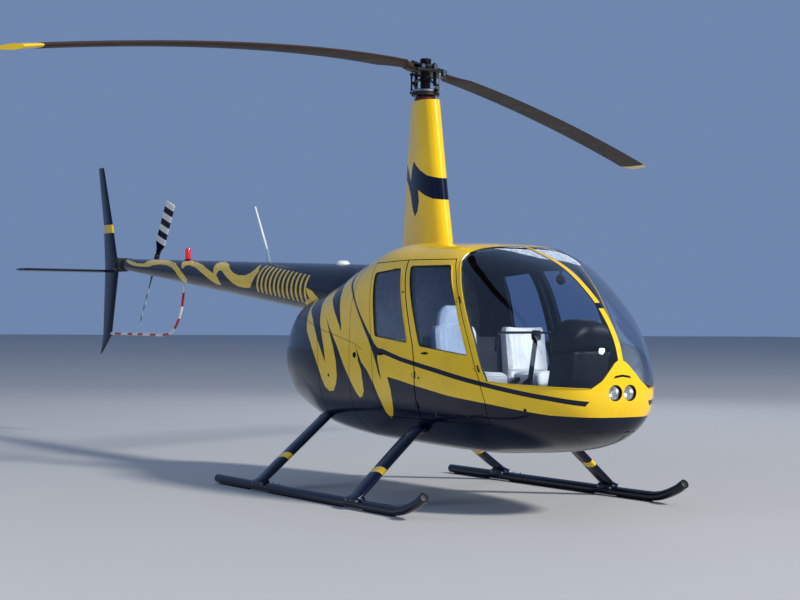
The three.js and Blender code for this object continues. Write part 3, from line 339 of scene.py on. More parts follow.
# Seats. Columns: back of the seat x, cushion length, shoulder z, top of the headrest z
SEATS = {"front": (800, 470, 1268, 1420), "rear": (-46, 440, 1170, 1170)}
SEAT_INNER = 110
SEAT_OUTER = 490
SEAT_MIDDLE = (SEAT_INNER + SEAT_OUTER) / 2
SEAT_HALF = (SEAT_OUTER - SEAT_INNER) / 2
CUSHION_Z = 840
PLEAT_PITCH = 42
PLEAT_HALF = 150  # the pleats stop short of the seat's sides
SEAT_VOXEL = 8
FILL_FRAMES = 20
SWELL = {"cushion": 16, "back": 14}  # how far the filling may move the leather
PLEAT_DEPTH = 6
CLOTH = {
    "quality": 5, "use_pressure": True, "uniform_pressure_force": 4, "mass": 0.4, "tension_stiffness": 12,
    "compression_stiffness": 12, "bending_stiffness": 0.4,
}
PIPING_RADIUS = 3.2

# Console and controls
PEDESTAL = [
    (1712, 601), (1990, 601), (2060, 900), (2078, 1105), (1838, 1105), (1778, 860),
]
PEDESTAL_HALF = 150
HOOD = [(1842, 1070), (2078, 1100), (2130, 1256), (2040, 1313), (1846, 1313)]
HOOD_HALF = 188
HOOD_CROWN = 92  # how much lower the hood's top is at its sides
DIAL_FACE = [(1842, 1070), (1846, 1313)]
DIALS = [  # y, z, radius
    (-112, 1212, 34), (-36, 1224, 38), (46, 1224, 38), (120, 1212, 32), (-114, 1138, 32), (-38, 1140, 36),
    (42, 1140, 36), (116, 1138, 32),
]
RADIOS = range(4)
RADIO_Z = 880
RADIO_PITCH = 52
STICK_FOOT = (1330, 0, 620)
STICK_TOP = (1452, 0, 1205)
STICK_REACH = 330
STICK_BAR_Z = 1218
STICK_BOOT = [(0, 601), (42, 601), (40, 618), (26, 632), (20, 668), (17, 672), (0, 672)]  # radius, z
STICK_HUB = [(0, 1165), (26, 1165), (33, 1174), (34, 1200), (32, 1226), (24, 1235), (0, 1235)]  # radius, z
STICK_GRIP = [  # radius, height from its middle
    (0, -56), (12, -56), (15, -50), (13.5, -36), (15, -22), (13.5, -8), (15, 6), (14, 24), (12, 34), (0, 36),
]
LEVER_PIVOT = (930, 700)
LEVER_TIP = (1330, 900)
LEVER_GRIP = [  # radius, distance along the lever
    (0, 0), (14, 0), (17, 6), (15, 24), (17, 42), (15, 60), (17, 78), (17, 104), (13, 112), (0, 114),
]

# Engine bay and lamps. Turned shapes are (radius, distance along the axis)
FAN_SCROLL = [
    (70, 1), (174, 1), (188, 8), (206, 26), (214, 40), (214, 112), (206, 126), (184, 148), (166, 160),
    (154, 164), (122, 164), (118, 158), (118, 76),
]
FAN_HUB = [(0, 2), (118, 2), (119, 70), (64, 74), (52, 96), (30, 108), (0, 112)]
FAN_NUT = [(0, 110), (14, 110), (18, 116), (14, 124), (0, 126)]
FAN_WINGS = 18
FAN_X = -1341
EXHAUST_PATH = [
    (-1100, 120, 750), (-1100, 120, 640), (-1110, 122, 560), (-1150, 126, 505), (-1210, 130, 470),
    (-1280, 132, 452),
]
LAMP_X = 2338
LAMP_BACK = [(49, 44), (50, 20), (46, 8), (14, -6), (0, -6)]
LAMP_RIM = [(44, 42), (51, 42), (51.5, 47), (48, 50), (44, 48)]
LAMP_BULB = [(0, 4), (6, 4), (6, 20), (3, 26), (0, 27)]
LAMP_GLASS = [(0, 52), (16, 51.2), (32, 49.5), (45, 47), (45, 44.5), (32, 46.8), (16, 48.5), (0, 49.2)]

# Door fittings on the side, as (x, z)
HINGE_HEIGHTS = {"front": [(1634, 980), (1402, 1436)], "rear": [(906, 705), (906, 915)]}
DOOR_STUDS = {"front": [(955, 896)], "rear": [(541, 1660), (712, 1494)]}
HANDLES = {"front": (1034, 1069), "rear": (420, 1050)}
AIR_SCOOP = (1136, 653)
HANDLE_HALF = 34
HINGE_BARRELS = (-17, 0, 17)  # along the hinge line
HINGE_SCREWS = [(-30, -12), (-30, 12), (-46, 0)]  # from the hinge, x and z
LATCH_HOLE = (18, 1034)
STATIC_PORTS = [(-420, 870), (2010, 720)]
COMPASS = (1727, 1579)
COMPASS_RADIUS = 35
FAIRING_SEAMS = (0.62, 0.66)  # shares of the fairing's chord from its tail
FAIRING_RIVETS = range(1760, 2940, 60)  # z
RIVET_LINES = [  # the first two on yellow, the others on black
    [(1760, 882), (1831, 877), (2050, 868), (2180, 864)],
    [(-40, 1716), (120, 1727)],
    [(-640, 1250), (-600, 900), (-575, 600)],
    [(-1400, 1290), (-1385, 1000), (-1330, 660)],
]
RIVET_PITCH = 42
COWL_SEAMS = [
    [(-1730, 1050), (-1600, 1235), (-1420, 1300), (-1180, 1312), (-998, 1300), (-760, 1255), (-533, 1210),
     (-280, 1170), (-27, 1126), (138, 1078)],
    [(-1420, 1300), (-1390, 1000), (-1330, 640)],
    [(-640, 1232), (-600, 900), (-560, 520)],
    [(-72, 1740), (-72, 1400), (-72, 1000), (-72, 600), (-72, 420)],
]


def linear(code):
    """Linear colour of an sRGB hex code."""
    shares = [int(code[i:i + 2], 16) / 255 for i in (1, 3, 5)]
    return [s / 12.92 if s <= 0.04045 else ((s + 0.055) / 1.055) ** 2.4 for s in shares]


def paint(name, words, code):
    """A colour for the sidebar."""
    return bpy.props.FloatVectorProperty(
        name=name, description=words, subtype="COLOR", size=3, min=0, max=1, default=linear(code))


class HelicopterColours(bpy.types.PropertyGroup):
    yellow: paint("Yellow enamel", "Body, doors, roof and mast fairing", "#FACA00")
    # The black enamel's navy tint is a painted reflection of a blue sky on black paint.
    black: paint("Black enamel", "Belly, cowl, tail cone and landing gear", "#050D26")
    blade: paint("Blade enamel", "Main rotor blades", "#3B2A24")
    white: paint("White enamel", "Bands of the tail rotor and guard, aerials and dial marks", "#E6E6E2")
    red: paint("Red enamel", "Guard bands and the buttons on the stick", "#B3121A")
    aerial: paint("Pale blue enamel", "Foot of the whip aerial", "#9DB2C0")
    teal: paint("Teal enamel", "Air scoops on the front doors", "#0A2628")
    oxide: paint("Dark red enamel", "Collar at the foot of the swashplate", "#4A0E12")
    leather: paint("Seat leather", "Cushions and seat backs", "#E4E1DC")
    lining: paint("Cabin lining", "Headliner, door linings and seat bases", "#171A22")
    trim: paint("Moulded trim", "Console, grips and seals", "#08090B")


class HelicopterSizes(bpy.types.PropertyGroup):
    wall: bpy.props.FloatProperty(
        name="Cabin wall", description="Thickness of cabin walls and doors", default=0.028, unit="LENGTH")
    cowl_wall: bpy.props.FloatProperty(
        name="Cowl wall", description="Thickness of the engine cowl", default=0.012, unit="LENGTH")
    glass: bpy.props.FloatProperty(
        name="Glazing", description="Thickness of the acrylic panes", default=0.004, unit="LENGTH")
    door_gap: bpy.props.FloatProperty(
        name="Door gap", description="Seam round a closed door", default=0.006, unit="LENGTH")
    rim: bpy.props.FloatProperty(
        name="Window rim", description="Radius of the bead round each pane", default=0.0055, unit="LENGTH")
    rivet: bpy.props.FloatProperty(
        name="Rivet", description="Radius of a rivet head", default=0.0045, unit="LENGTH")


def size(name):
    """A size from the sidebar, in millimetres."""
    return getattr(bpy.context.scene.helicopter_sizes, name) / MM


def shade(colour, bright=1.0):
    """A linear colour with full alpha, made lighter or darker."""
    return [min(c * bright, 1) for c in colour] + [1]


def tone(name, bright=1.0):
    """A colour from the sidebar with full alpha, made lighter or darker."""
    return shade(getattr(bpy.context.scene.helicopter_colours, name), bright)


# Materials

def add(tree, kind, inputs=None, **settings):
    """Adds a shader node, sets it up and links its inputs."""
    made = tree.nodes.new("ShaderNode" + kind)
    for key, value in settings.items():
        setattr(made, key, value)
    for key, value in (inputs or {}).items():
        if isinstance(value, bpy.types.NodeSocket):
            tree.links.new(value, made.inputs[key])
        else:
            made.inputs[key].default_value = value
    return made


def blank(name):
    """A new material, its emptied node tree and the coordinates that its patterns read."""
    material = bpy.data.materials.new(name)
    material.use_nodes = True
    tree = material.node_tree
    tree.nodes.clear()
    return material, tree, add(tree, "TexCoord").outputs["Object"]


def finished(material, shader):
    """The material with its shader sent to the output."""
    add(material.node_tree, "OutputMaterial", {"Surface": shader.outputs[0]})
    return material


def mottled(tree, coords, scale, first, second, detail=3):
    """A colour that drifts between two over a distance of 1/scale metres."""
    noise = add(tree, "TexNoise", {"Vector": coords, "Scale": scale, "Detail": detail})
    spread = add(tree, "MapRange", {"Value": noise.outputs["Fac"], "From Min": 0.35, "From Max": 0.65})
    mix = add(tree, "Mix", {0: spread.outputs[0], 6: first, 7: second}, data_type="RGBA")
    return mix.outputs[2]


@functools.cache
def enamel(name, colour, rough=0.22, coat=0.8, gloss=0.3):
    """Two-pack enamel sprayed on aluminium sheet: deep wet gloss with faint orange peel and a little dust."""
    material, tree, coords = blank(name)
    peel = add(tree, "TexNoise", {"Vector": coords, "Scale": 1 / (9 * MM), "Detail": 2})
    dents = add(tree, "TexNoise", {"Vector": coords, "Scale": 1 / (320 * MM), "Detail": 1})
    waves = add(tree, "Math", {0: dents.outputs["Fac"], 1: 6.0, 2: peel.outputs["Fac"]},
                operation="MULTIPLY_ADD")
    bump = add(tree, "Bump", {"Height": waves.outputs[0], "Strength": 0.25, "Distance": 0.25 * MM})
    dust = add(tree, "TexNoise", {"Vector": coords, "Scale": 1 / (140 * MM), "Detail": 4})
    matt = add(tree, "MapRange", {"Value": dust.outputs["Fac"], "To Min": rough * 0.8, "To Max": rough * 1.5})
    return finished(material, add(tree, "BsdfPrincipled", {
        "Base Color": mottled(tree, coords, 3, tone(colour), tone(colour, 0.9)),
        "Roughness": matt.outputs[0], "Specular IOR Level": gloss, "Coat Weight": coat,
        "Coat Roughness": 0.04, "Normal": bump.outputs[0]}))


@functools.cache
def moulded(name, colour, grain, rough, depth=0.25):
    """Moulded plastic or vinyl sheet: a fine leathery grain that breaks up its dull shine."""
    material, tree, coords = blank(name)
    cells = add(tree, "TexVoronoi", {"Vector": coords, "Scale": 1 / (grain * MM)})
    bump = add(tree, "Bump", {"Height": cells.outputs["Distance"], "Strength": 0.35, "Distance": depth * MM})
    wear = add(tree, "TexNoise", {"Vector": coords, "Scale": 1 / (60 * MM), "Detail": 4})
    matt = add(tree, "MapRange", {
        "Value": wear.outputs["Fac"], "To Min": rough - 0.12, "To Max": rough + 0.12})
    return finished(material, add(tree, "BsdfPrincipled", {
        "Base Color": mottled(tree, coords, 18, tone(colour), tone(colour, 0.8)),
        "Roughness": matt.outputs[0], "Specular IOR Level": 0.25, "Normal": bump.outputs[0]}))


@functools.cache
def hide():
    """Pigmented cream leather: small pebbled grain with soft creases, slightly darker in soft random patches.
    """
    material, tree, coords = blank("upholstery_leather")
    pebbles = add(tree, "TexVoronoi", {"Vector": coords, "Scale": 1 / (2.6 * MM)}, feature="SMOOTH_F1")
    creases = add(tree, "TexNoise", {
        "Vector": coords, "Scale": 1 / (28 * MM), "Detail": 5, "Distortion": 0.6})
    height = add(tree, "Math", {0: creases.outputs["Fac"], 1: 3.0, 2: pebbles.outputs["Distance"]},
                 operation="MULTIPLY_ADD")
    bump = add(tree, "Bump", {"Height": height.outputs[0], "Strength": 0.3, "Distance": 0.5 * MM})
    return finished(material, add(tree, "BsdfPrincipled", {
        "Base Color": mottled(tree, coords, 9, tone("leather"), tone("leather", 0.86), 5),
        "Roughness": 0.48, "Sheen Weight": 0.15, "Normal": bump.outputs[0]}))


@functools.cache
def metal(name, code, rough=0.32, grain=(4, 4, 90), strength=0.12):
    """Bare metal as machined or drawn: fine lines that stretch its highlights, with darker oily patches."""
    material, tree, coords = blank(name)
    lines = add(tree, "Mapping", {"Vector": coords, "Scale": [g / (10 * MM) for g in grain]})
    brushed = add(tree, "TexNoise", {"Vector": lines.outputs[0], "Scale": 1.0, "Detail": 2})
    bump = add(tree, "Bump", {"Height": brushed.outputs["Fac"], "Strength": strength, "Distance": 0.1 * MM})
    matt = add(tree, "MapRange", {
        "Value": brushed.outputs["Fac"], "To Min": rough - 0.08, "To Max": rough + 0.12})
    body = linear(code)
    return finished(material, add(tree, "BsdfPrincipled", {
        "Base Color": mottled(tree, coords, 25, shade(body), shade(body, 0.75)),
        "Metallic": 1.0, "Roughness": matt.outputs[0], "Normal": bump.outputs[0]}))


@functools.cache
def casting(name, code, rough):
    """Sand-cast light alloy: a pitted dull skin that only glints at its edges."""
    material, tree, coords = blank(name)
    pits = add(tree, "TexNoise", {"Vector": coords, "Scale": 1 / (3 * MM), "Detail": 5})
    bump = add(tree, "Bump", {"Height": pits.outputs["Fac"], "Strength": 0.4, "Distance": 0.4 * MM})
    body = linear(code)
    return finished(material, add(tree, "BsdfPrincipled", {
        "Base Color": mottled(tree, coords, 30, shade(body), shade(body, 0.6)),
        "Metallic": 0.8, "Roughness": rough, "Normal": bump.outputs[0]}))


@functools.cache
def glazing(name, code, dark, rough=0.0):
    """Cast acrylic: clear and glossy, seen through in its own tint, and light passes to what is behind."""
    material, tree, coords = blank(name)
    ripple = add(tree, "TexNoise", {"Vector": coords, "Scale": 1 / (260 * MM), "Detail": 1})
    bump = add(tree, "Bump", {"Height": ripple.outputs["Fac"], "Strength": 0.15, "Distance": 1.5 * MM})
    tint = shade(linear(code), dark)
    pane = add(tree, "BsdfPrincipled", {
        "Base Color": tint, "Roughness": rough, "IOR": 1.49, "Transmission Weight": 1.0,
        "Normal": bump.outputs[0]})
    clear = add(tree, "BsdfTransparent", {"Color": tint})
    rays = add(tree, "LightPath")
    mix = add(tree, "MixShader", {0: rays.outputs["Is Shadow Ray"], 1: pane.outputs[0], 2: clear.outputs[0]})
    return finished(material, mix)


@functools.cache
def lens(name, code, glow):
    """Coloured polycarbonate lens: saturated, glossy, with fine ribs moulded inside that catch the light."""
    material, tree, coords = blank(name)
    ribs = add(tree, "TexWave", {"Vector": coords, "Scale": 1 / (14 * MM)}, bands_direction="Z")
    bump = add(tree, "Bump", {"Height": ribs.outputs["Fac"], "Strength": 0.4, "Distance": 0.6 * MM})
    body = linear(code)
    return finished(material, add(tree, "BsdfPrincipled", {
        "Base Color": mottled(tree, coords, 40, shade(body), shade(body, 0.7)),
        "Roughness": 0.12, "Coat Weight": 1.0, "Normal": bump.outputs[0],
        "Emission Color": shade(body), "Emission Strength": glow}))


def own_finish(node, material):
    """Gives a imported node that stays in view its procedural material."""
    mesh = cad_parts[node].data
    mesh.materials.clear()
    mesh.materials.append(material)
    for face in mesh.polygons:
        face.material_index = 0


def yellow():
    """Glossy yellow of the body's upper half."""
    return enamel("polyurethane_enamel_yellow", "yellow")


def black():
    """Near-black of the lower half, a little less glossy; its navy tint is a painted reflection of a blue
    sky.
    """
    return enamel("polyurethane_enamel_black", "black", 0.2, 0.45, 0.15)


def white():
    return enamel("polyurethane_enamel_white", "white", 0.3, 0.5)


def red():
    return enamel("polyurethane_enamel_red", "red", 0.3, 0.5)


def lining():
    return moulded("vinyl_headliner", "lining", 2.2, 0.75)


def trim():
    return moulded("abs_moulding", "trim", 1.4, 0.5)


def rubber():
    return moulded("epdm_rubber", "trim", 0.9, 0.7, 0.1)


def dark_enamel():
    return enamel("dark_enamel", "trim", 0.4, 0.1, 0.1)


def steel():
    return metal("stainless_steel", "#B9BBBD")


def dark_steel():
    return metal("blackened_steel", "#2C2D2F", 0.45)


def head_metals(last):
    """Finishes of a rotor head: grey castings, machined steel, black bolts and a paint."""
    castings = casting("grey_cast_alloy", "#3E3C3B", 0.42)
    return [castings, metal("machined_steel", "#B4B7BA", 0.3), dark_steel(), last]


# Outlines and places

def legs(points, closed=True):
    """Neighbouring points of an outline or a line, two by two."""
    return zip(points, [*points[1:], points[0]] if closed else points[1:])


def rounded(points, radius, steps=5):
    """An outline with its corners rounded."""
    made = []
    for i, corner in enumerate(points):
        here = Vector(corner)
        before = Vector(points[i - 1]) - here
        after = Vector(points[(i + 1) % len(points)]) - here
        near, far = (min(radius, edge.length * 0.45) for edge in (before, after))
        start, end = here + before.normalized() * near, here + after.normalized() * far
        for k in range(steps + 1):
            f = k / steps
            made.append(tuple(start * (1 - f) ** 2 + here * 2 * f * (1 - f) + end * f * f))
    return made


def inset(points, distance):
    """An outline moved inwards by a distance."""
    turn = math.copysign(1, sum(a[0] * b[1] - b[0] * a[1] for a, b in legs(points)))
    made = []
    for i, point in enumerate(points):
        here = Vector(point)
        before = (here - Vector(points[i - 1])).normalized()
        after = (Vector(points[(i + 1) % len(points)]) - here).normalized()
        middle = Vector((-before.y, before.x)) + Vector((-after.y, after.x))
        made.append(tuple(here + middle * (turn * distance * 2 / max(middle.length_squared, 0.8))))
    return made


def oblong(x0, x1, middle, half):
    """Corners of a rectangle between two x, as wide on both sides of a middle line."""
    return [(x0, middle - half), (x1, middle - half), (x1, middle + half), (x0, middle + half)]


def circle(y, z, radius, count=28):
    """Points round a circle."""
    return [(y + radius * math.cos(2 * math.pi * k / count), z + radius * math.sin(2 * math.pi * k / count))
            for k in range(count)]


def dense(points, step, closed=False):
    """The same line with a point every step or closer."""
    made = []
    for a, b in legs(points, closed):
        a, b = Vector(a), Vector(b)
        count = max(1, math.ceil((b - a).length / step))
        made += [a.lerp(b, k / count) for k in range(count)]
    return made if closed else [*made, Vector(points[-1])]


def inside(outline, a, b):
    """Whether a point of the flat view lies inside an outline."""
    odd = False
    for (x1, y1), (x2, y2) in legs(outline):
        if (y1 > b) != (y2 > b) and a < (x2 - x1) * (b - y1) / (y2 - y1) + x1:
            odd = not odd
    return odd


def spline(f, a, b, c, d):
    """Value between b and c of a smooth curve through a, b, c and d."""
    bend = (2 * a - 5 * b + 4 * c - d) * f ** 2
    return 0.5 * (2 * b + (c - a) * f + bend + (3 * b - a - 3 * c + d) * f ** 3)


def flowing(points, steps):
    """A smooth curve through points, with so many steps between neighbours."""
    rows = [Vector(p) for p in points]
    rows = [rows[0] * 2 - rows[1], *rows, rows[-1] * 2 - rows[-2]]
    made = []
    for i in range(1, len(rows) - 2):
        made += [spline(k / steps, *rows[i - 1:i + 3]) for k in range(steps)]
    return [*made, rows[-2]]


def foil(chord, thickness, count=36):
    """Points round a streamlined section, nose at +x, as (along, across)."""
    made = []
    for k in range(count):
        angle = 2 * math.pi * k / count
        along = (1 + math.cos(angle)) / 2
        fullness = 1.35 * math.sqrt(max(1 - along, 0)) * math.sqrt(along) * (0.35 + 0.65 * along)
        made.append((chord * (along - 0.5), math.copysign(thickness * fullness, math.sin(angle))))
    return made


def standing_foil(row, count):
    """Level ring of a streamlined upright, from a row of its height, tail x, nose x and thickness."""
    z, tail, nose, thick = row
    return [Vector(((tail + nose) / 2 + a, across, z)) for a, across in foil(nose - tail, thick, count)]


def between(rows, value):
    """A row of a table at a value of its first column, on straight lines between its rows."""
    for low, high in zip(rows, rows[1:]):
        if min(low[0], high[0]) <= value <= max(low[0], high[0]):
            f = (value - low[0]) / (high[0] - low[0])
            return [a + (b - a) * f for a, b in zip(low, high)]
    return list(rows[0] if abs(value - rows[0][0]) < abs(value - rows[-1][0]) else rows[-1])


def placed(place, degrees=0, axis="Y"):
    """A turn about an axis, and then a move to a place."""
    return Matrix.Translation(place) @ Matrix.Rotation(math.radians(degrees), 4, axis)


def facing(direction):
    """A turn that brings the z axis to a direction."""
    return direction.to_track_quat("Z", "Y").to_matrix().to_4x4()


# Mesh tools

def moved(bm, matrix):
    bmesh.ops.transform(bm, matrix=matrix, verts=bm.verts[:])


def merged(bm, part, material=0, matrix=None):
    """Adds a shape that was built on its own to a piece's mesh."""
    if matrix:
        moved(part, matrix)
    for face in part.faces:
        face.material_index = material
    mesh = bpy.data.meshes.new("part")
    part.to_mesh(mesh)
    part.free()
    bm.from_mesh(mesh)
    bpy.data.meshes.remove(mesh)


def skin_over(bm, rings, material=0, capped=True, closed=True):
    """A skin over rings of equally many points: a grid whose corners are moved on to the rings."""
    part = bmesh.new()
    around = len(rings[0]) if closed else len(rings[0]) - 1
    along = len(rings) - 1
    for vert in bmesh.ops.create_grid(part, x_segments=around, y_segments=along, size=1)["verts"]:
        column = round((vert.co.x + 1) / 2 * around)
        row = round((vert.co.y + 1) / 2 * along)
        vert.co = rings[row][column % len(rings[0])]
    bmesh.ops.remove_doubles(part, verts=part.verts[:], dist=0.01)
    if capped:
        edges = [e for e in part.edges if e.is_boundary]
        bmesh.ops.holes_fill(part, edges=edges, sides=around)
        bmesh.ops.recalc_face_normals(part, faces=part.faces[:])
    merged(bm, part, material)


def soften(bm, edges, offset, segments=2):
    """Bevels some edges."""
    bmesh.ops.bevel(bm, geom=edges, offset=offset, segments=segments, affect="EDGES", profile=0.5,
                    material=-1, clamp_overlap=True)


def bar(bm, start, end, radius, tip=None, sides=20, material=0, bevel=0):
    """A round bar or cone between two points, its rims bevelled."""
    part = bmesh.new()
    a, b = Vector(start), Vector(end)
    bmesh.ops.create_cone(part, cap_ends=True, segments=sides, radius1=radius,
                          radius2=radius if tip is None else tip, depth=(b - a).length)
    if bevel:
        rims = [e for e in part.edges if any(len(f.verts) > 4 for f in e.link_faces)]
        soften(part, rims, bevel)
    merged(bm, part, material, Matrix.Translation((a + b) / 2) @ facing(b - a))


def block(bm, low, high, bevel=0, material=0, segments=2, matrix=None):
    """A box between two corners, its edges bevelled."""
    part = bmesh.new()
    low, high = Vector(low), Vector(high)
    stretch = Matrix.Diagonal((*(high - low), 1))
    bmesh.ops.create_cube(part, size=1, matrix=Matrix.Translation((low + high) / 2) @ stretch)
    if bevel:
        soften(part, part.edges[:], bevel, segments)
    merged(bm, part, material, matrix)


def slab(bm, outline, low, high, flat=(0, 1), bevel=3, material=0):
    """A flat shape from an outline in two directions, drawn out along the third, its rims bevelled."""
    third = 3 - sum(flat)
    rings = []
    for depth, level in ((bevel, low), (0, low + bevel), (0, high - bevel), (bevel, high)):
        ring = []
        for point in inset(outline, depth) if depth else outline:
            corner = Vector((0, 0, 0))
            corner[flat[0]], corner[flat[1]], corner[third] = point[0], point[1], level
            ring.append(corner)
        rings.append(ring)
    skin_over(bm, rings, material)


def bolt(bm, place, direction, radius, height, material=0):
    """A hexagon head on its washer, standing on a surface."""
    place, direction = Vector(place), Vector(direction).normalized()
    bar(bm, place, place + direction * height * 0.25, radius * 1.35, None, 18, material, radius * 0.08)
    bar(bm, place + direction * height * 0.25, place + direction * height, radius, radius * 0.94, 6, material,
        radius * 0.1)


def ball(bm, centre, radii, material=0, across=16, up=10, turn=None):
    """A ball or lens shape with its own radius along each direction."""
    part = bmesh.new()
    bmesh.ops.create_uvsphere(part, u_segments=across, v_segments=up, radius=1)
    stretch = Matrix.Diagonal((*radii, 1))
    merged(bm, part, material, Matrix.Translation(centre) @ (turn or Matrix.Identity(4)) @ stretch)


def turned(bm, profile, place=None, sides=32, material=0):
    """A shape turned about the z axis from (radius, z) corners, and put in its place."""
    part = bmesh.new()
    verts = [part.verts.new((r, 0, z)) for r, z in profile]
    edges = [part.edges.new(pair) for pair in zip(verts, verts[1:])]
    bmesh.ops.spin(part, geom=verts + edges, cent=(0, 0, 0), axis=(0, 0, 1), angle=2 * math.pi, steps=sides,
                   use_merge=True, use_duplicate=False)
    bmesh.ops.remove_doubles(part, verts=part.verts[:], dist=0.01)
    bmesh.ops.recalc_face_normals(part, faces=part.faces[:])
    merged(bm, part, material, place)


def tube(bm, points, radius, material=0, closed=False, fine=2, caps=True):
    """A round tube along a line of points."""
    curve = bpy.data.curves.new("line", "CURVE")
    curve.dimensions = "3D"
    curve.bevel_depth = radius
    curve.bevel_resolution = fine
    curve.use_fill_caps = caps and not closed
    line = curve.splines.new("POLY")
    line.points.add(len(points) - 1)
    for knot, point in zip(line.points, points):
        knot.co = (*point, 1)
    line.use_cyclic_u = closed
    holder = bpy.data.objects.new("line", curve)
    mesh = bpy.data.meshes.new_from_object(holder)
    part = bmesh.new()
    part.from_mesh(mesh)
    bpy.data.objects.remove(holder)
    bpy.data.curves.remove(curve)
    bpy.data.meshes.remove(mesh)
    merged(bm, part, material)


def whole(bm):
    """Adds the mirrored left half to a right half and joins the two at the middle."""
    made = bmesh.ops.duplicate(bm, geom=bm.verts[:] + bm.edges[:] + bm.faces[:])["geom"]
    verts = [g for g in made if isinstance(g, bmesh.types.BMVert)]
    faces = [g for g in made if isinstance(g, bmesh.types.BMFace)]
    bmesh.ops.scale(bm, vec=(1, -1, 1), verts=verts)
    bmesh.ops.reverse_faces(bm, faces=faces)
    bmesh.ops.remove_doubles(bm, verts=[v for v in bm.verts if abs(v.co.y) < 0.3], dist=0.3)
    return bm


def left_of(bm):
    """A mirrored copy for the left side."""
    other = bm.copy()
    bmesh.ops.scale(other, vec=(1, -1, 1), verts=other.verts[:])
    bmesh.ops.reverse_faces(other, faces=other.faces[:])
    return other


def face_outwards(bm):
    """Turns a skin's faces one way, away from the middle of the body."""
    bmesh.ops.recalc_face_normals(bm, faces=bm.faces[:])
    middle = Vector(BODY_MIDDLE)
    lean = sum((f.calc_center_median() - middle).dot(f.normal) * f.calc_area() for f in bm.faces)
    if lean < 0:
        bmesh.ops.reverse_faces(bm, faces=bm.faces[:])


def coloured(bm, second):
    """Gives the second material to the faces whose middles pass a test, and the first to the others."""
    for face in bm.faces:
        face.material_index = 1 if second(face.calc_center_median()) else 0


def piece(name, bm, body, slot, materials, replaces=(), wall=None, sharp=35, closed=True, subdivide=0):
    """Finishes a mesh: its place in metres, materials, wall, shading, and what it rides on and stands for."""
    if closed:
        bmesh.ops.recalc_face_normals(bm, faces=bm.faces[:])
    moved(bm, TO_ROW)
    mesh = bpy.data.meshes.new(name)
    bm.to_mesh(mesh)
    bm.free()
    for material in materials:
        mesh.materials.append(material)
    obj = bpy.data.objects.new(name, mesh)
    bpy.context.scene.collection.objects.link(obj)
    if wall:
        shell = obj.modifiers.new("wall", "SOLIDIFY")
        shell.thickness = wall[0] * MM
        shell.offset = -1
        shell.use_even_offset = True
        shell.material_offset = wall[1]
        shell.material_offset_rim = wall[1]
    if subdivide:
        finer = obj.modifiers.new("finer", "SUBSURF")
        finer.levels = subdivide
        finer.render_levels = subdivide
    if wall or subdivide:
        graph = bpy.context.evaluated_depsgraph_get()
        baked = bpy.data.meshes.new_from_object(obj.evaluated_get(graph), depsgraph=graph)
        obj.modifiers.clear()
        obj.data = baked
        bpy.data.meshes.remove(mesh)
        baked.name = name
    obj.data.shade_smooth()
    obj.data.set_sharp_from_angle(angle=math.radians(sharp))
    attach(obj, body)
    if replaces:
        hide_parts(*replaces)
    return obj


# Body surface

WINDOWS = {"front": rounded(FRONT_WINDOW, WINDOW_CORNER), "rear": rounded(REAR_WINDOW, WINDOW_CORNER)}


def body_row(t):
    """Section of the body at station t, on a smooth curve through the rows."""
    last = len(BODY_ROWS) - 1
    i = min(int(t), last - 1)
    rows = []
    for k in range(i - 1, i + 3):
        if k < 0:
            rows.append([2 * a - b for a, b in zip(BODY_ROWS[0], BODY_ROWS[1])])
        elif k > last:
            rows.append([2 * a - b for a, b in zip(BODY_ROWS[-1], BODY_ROWS[-2])])
        else:
            rows.append(BODY_ROWS[k])
    return [spline(t - i, *values) for values in zip(*rows)]


@functools.cache
def section(x):
    """Section of the body at an x."""
    low, high = 0.0, float(len(BODY_ROWS) - 1)
    for _ in range(30):
        middle = (low + high) / 2
        if body_row(middle)[0] < x:
            low = middle
        else:
            high = middle
    return body_row(low)


def side_point(x, z):
    """Point of the body's right side at an x and a z."""
    _, half, top, wide, bottom, square_top, square_bottom = section(round(x, 1))
    height, square = (top - wide, square_top) if z >= wide else (wide - bottom, square_bottom)
    share = min(abs(z - wide) / max(height, 1), 0.9995)
    return Vector((x, -half * (1 - share ** square) ** (1 / square), z))


def on_side(x, z, lift=0, side=-1):
    """Point of the body's side, raised square off the skin, and the direction outwards."""
    here = side_point(x, z)
    along = side_point(x + 3, z) - side_point(x - 3, z)
    up = side_point(x, z + 3) - side_point(x, z - 3)
    out = along.cross(up).normalized()
    flip = Vector((1, -side, 1))
    return (here + out * lift) * flip, out * flip


def side_line(points, side, lift=0.0, closed=False):
    """A line laid on the body's side."""
    return [on_side(p.x, p.y, lift, side)[0] for p in dense(points, 14, closed)]


def body_half():
    """The right half of the body as one fine skin, closed at its poles."""
    stations = []
    for i, (here, after) in enumerate(zip(BODY_ROWS, BODY_ROWS[1:])):
        length = math.hypot(after[0] - here[0], after[1] - here[1], (after[2] - here[2]) / 2)
        count = math.ceil(length / CELL)
        stations += [i + k / count for k in range(count)]
    stations.append(len(BODY_ROWS) - 1)
    rings = []
    for t in stations:
        x, half, top, wide, bottom, square_top, square_bottom = body_row(t)
        ring = []
        for k in range(COLUMNS + 1):
            angle = math.pi * k / COLUMNS
            c, s = math.cos(angle), math.sin(angle)
            height, square = (top - wide, square_top) if c >= 0 else (wide - bottom, square_bottom)
            reach = (abs(c) ** square + abs(s) ** square) ** (-1 / square)
            ring.append(Vector((x, -half * reach * s if 0 < k < COLUMNS else 0, wide + height * reach * c)))
        rings.append(ring)
    for ring in (rings[0], rings[-1]):
        pole = Vector((ring[0].x, 0, (ring[0].z + ring[-1].z) / 2))
        rings.insert(0 if ring is rings[0] else len(rings), [pole] * len(ring))
    bm = bmesh.new()
    skin_over(bm, rings, capped=False, closed=False)
    bm.normal_update()
    if sum(f.normal.y for f in bm.faces) > 0:
        bmesh.ops.reverse_faces(bm, faces=bm.faces[:])
    return bm


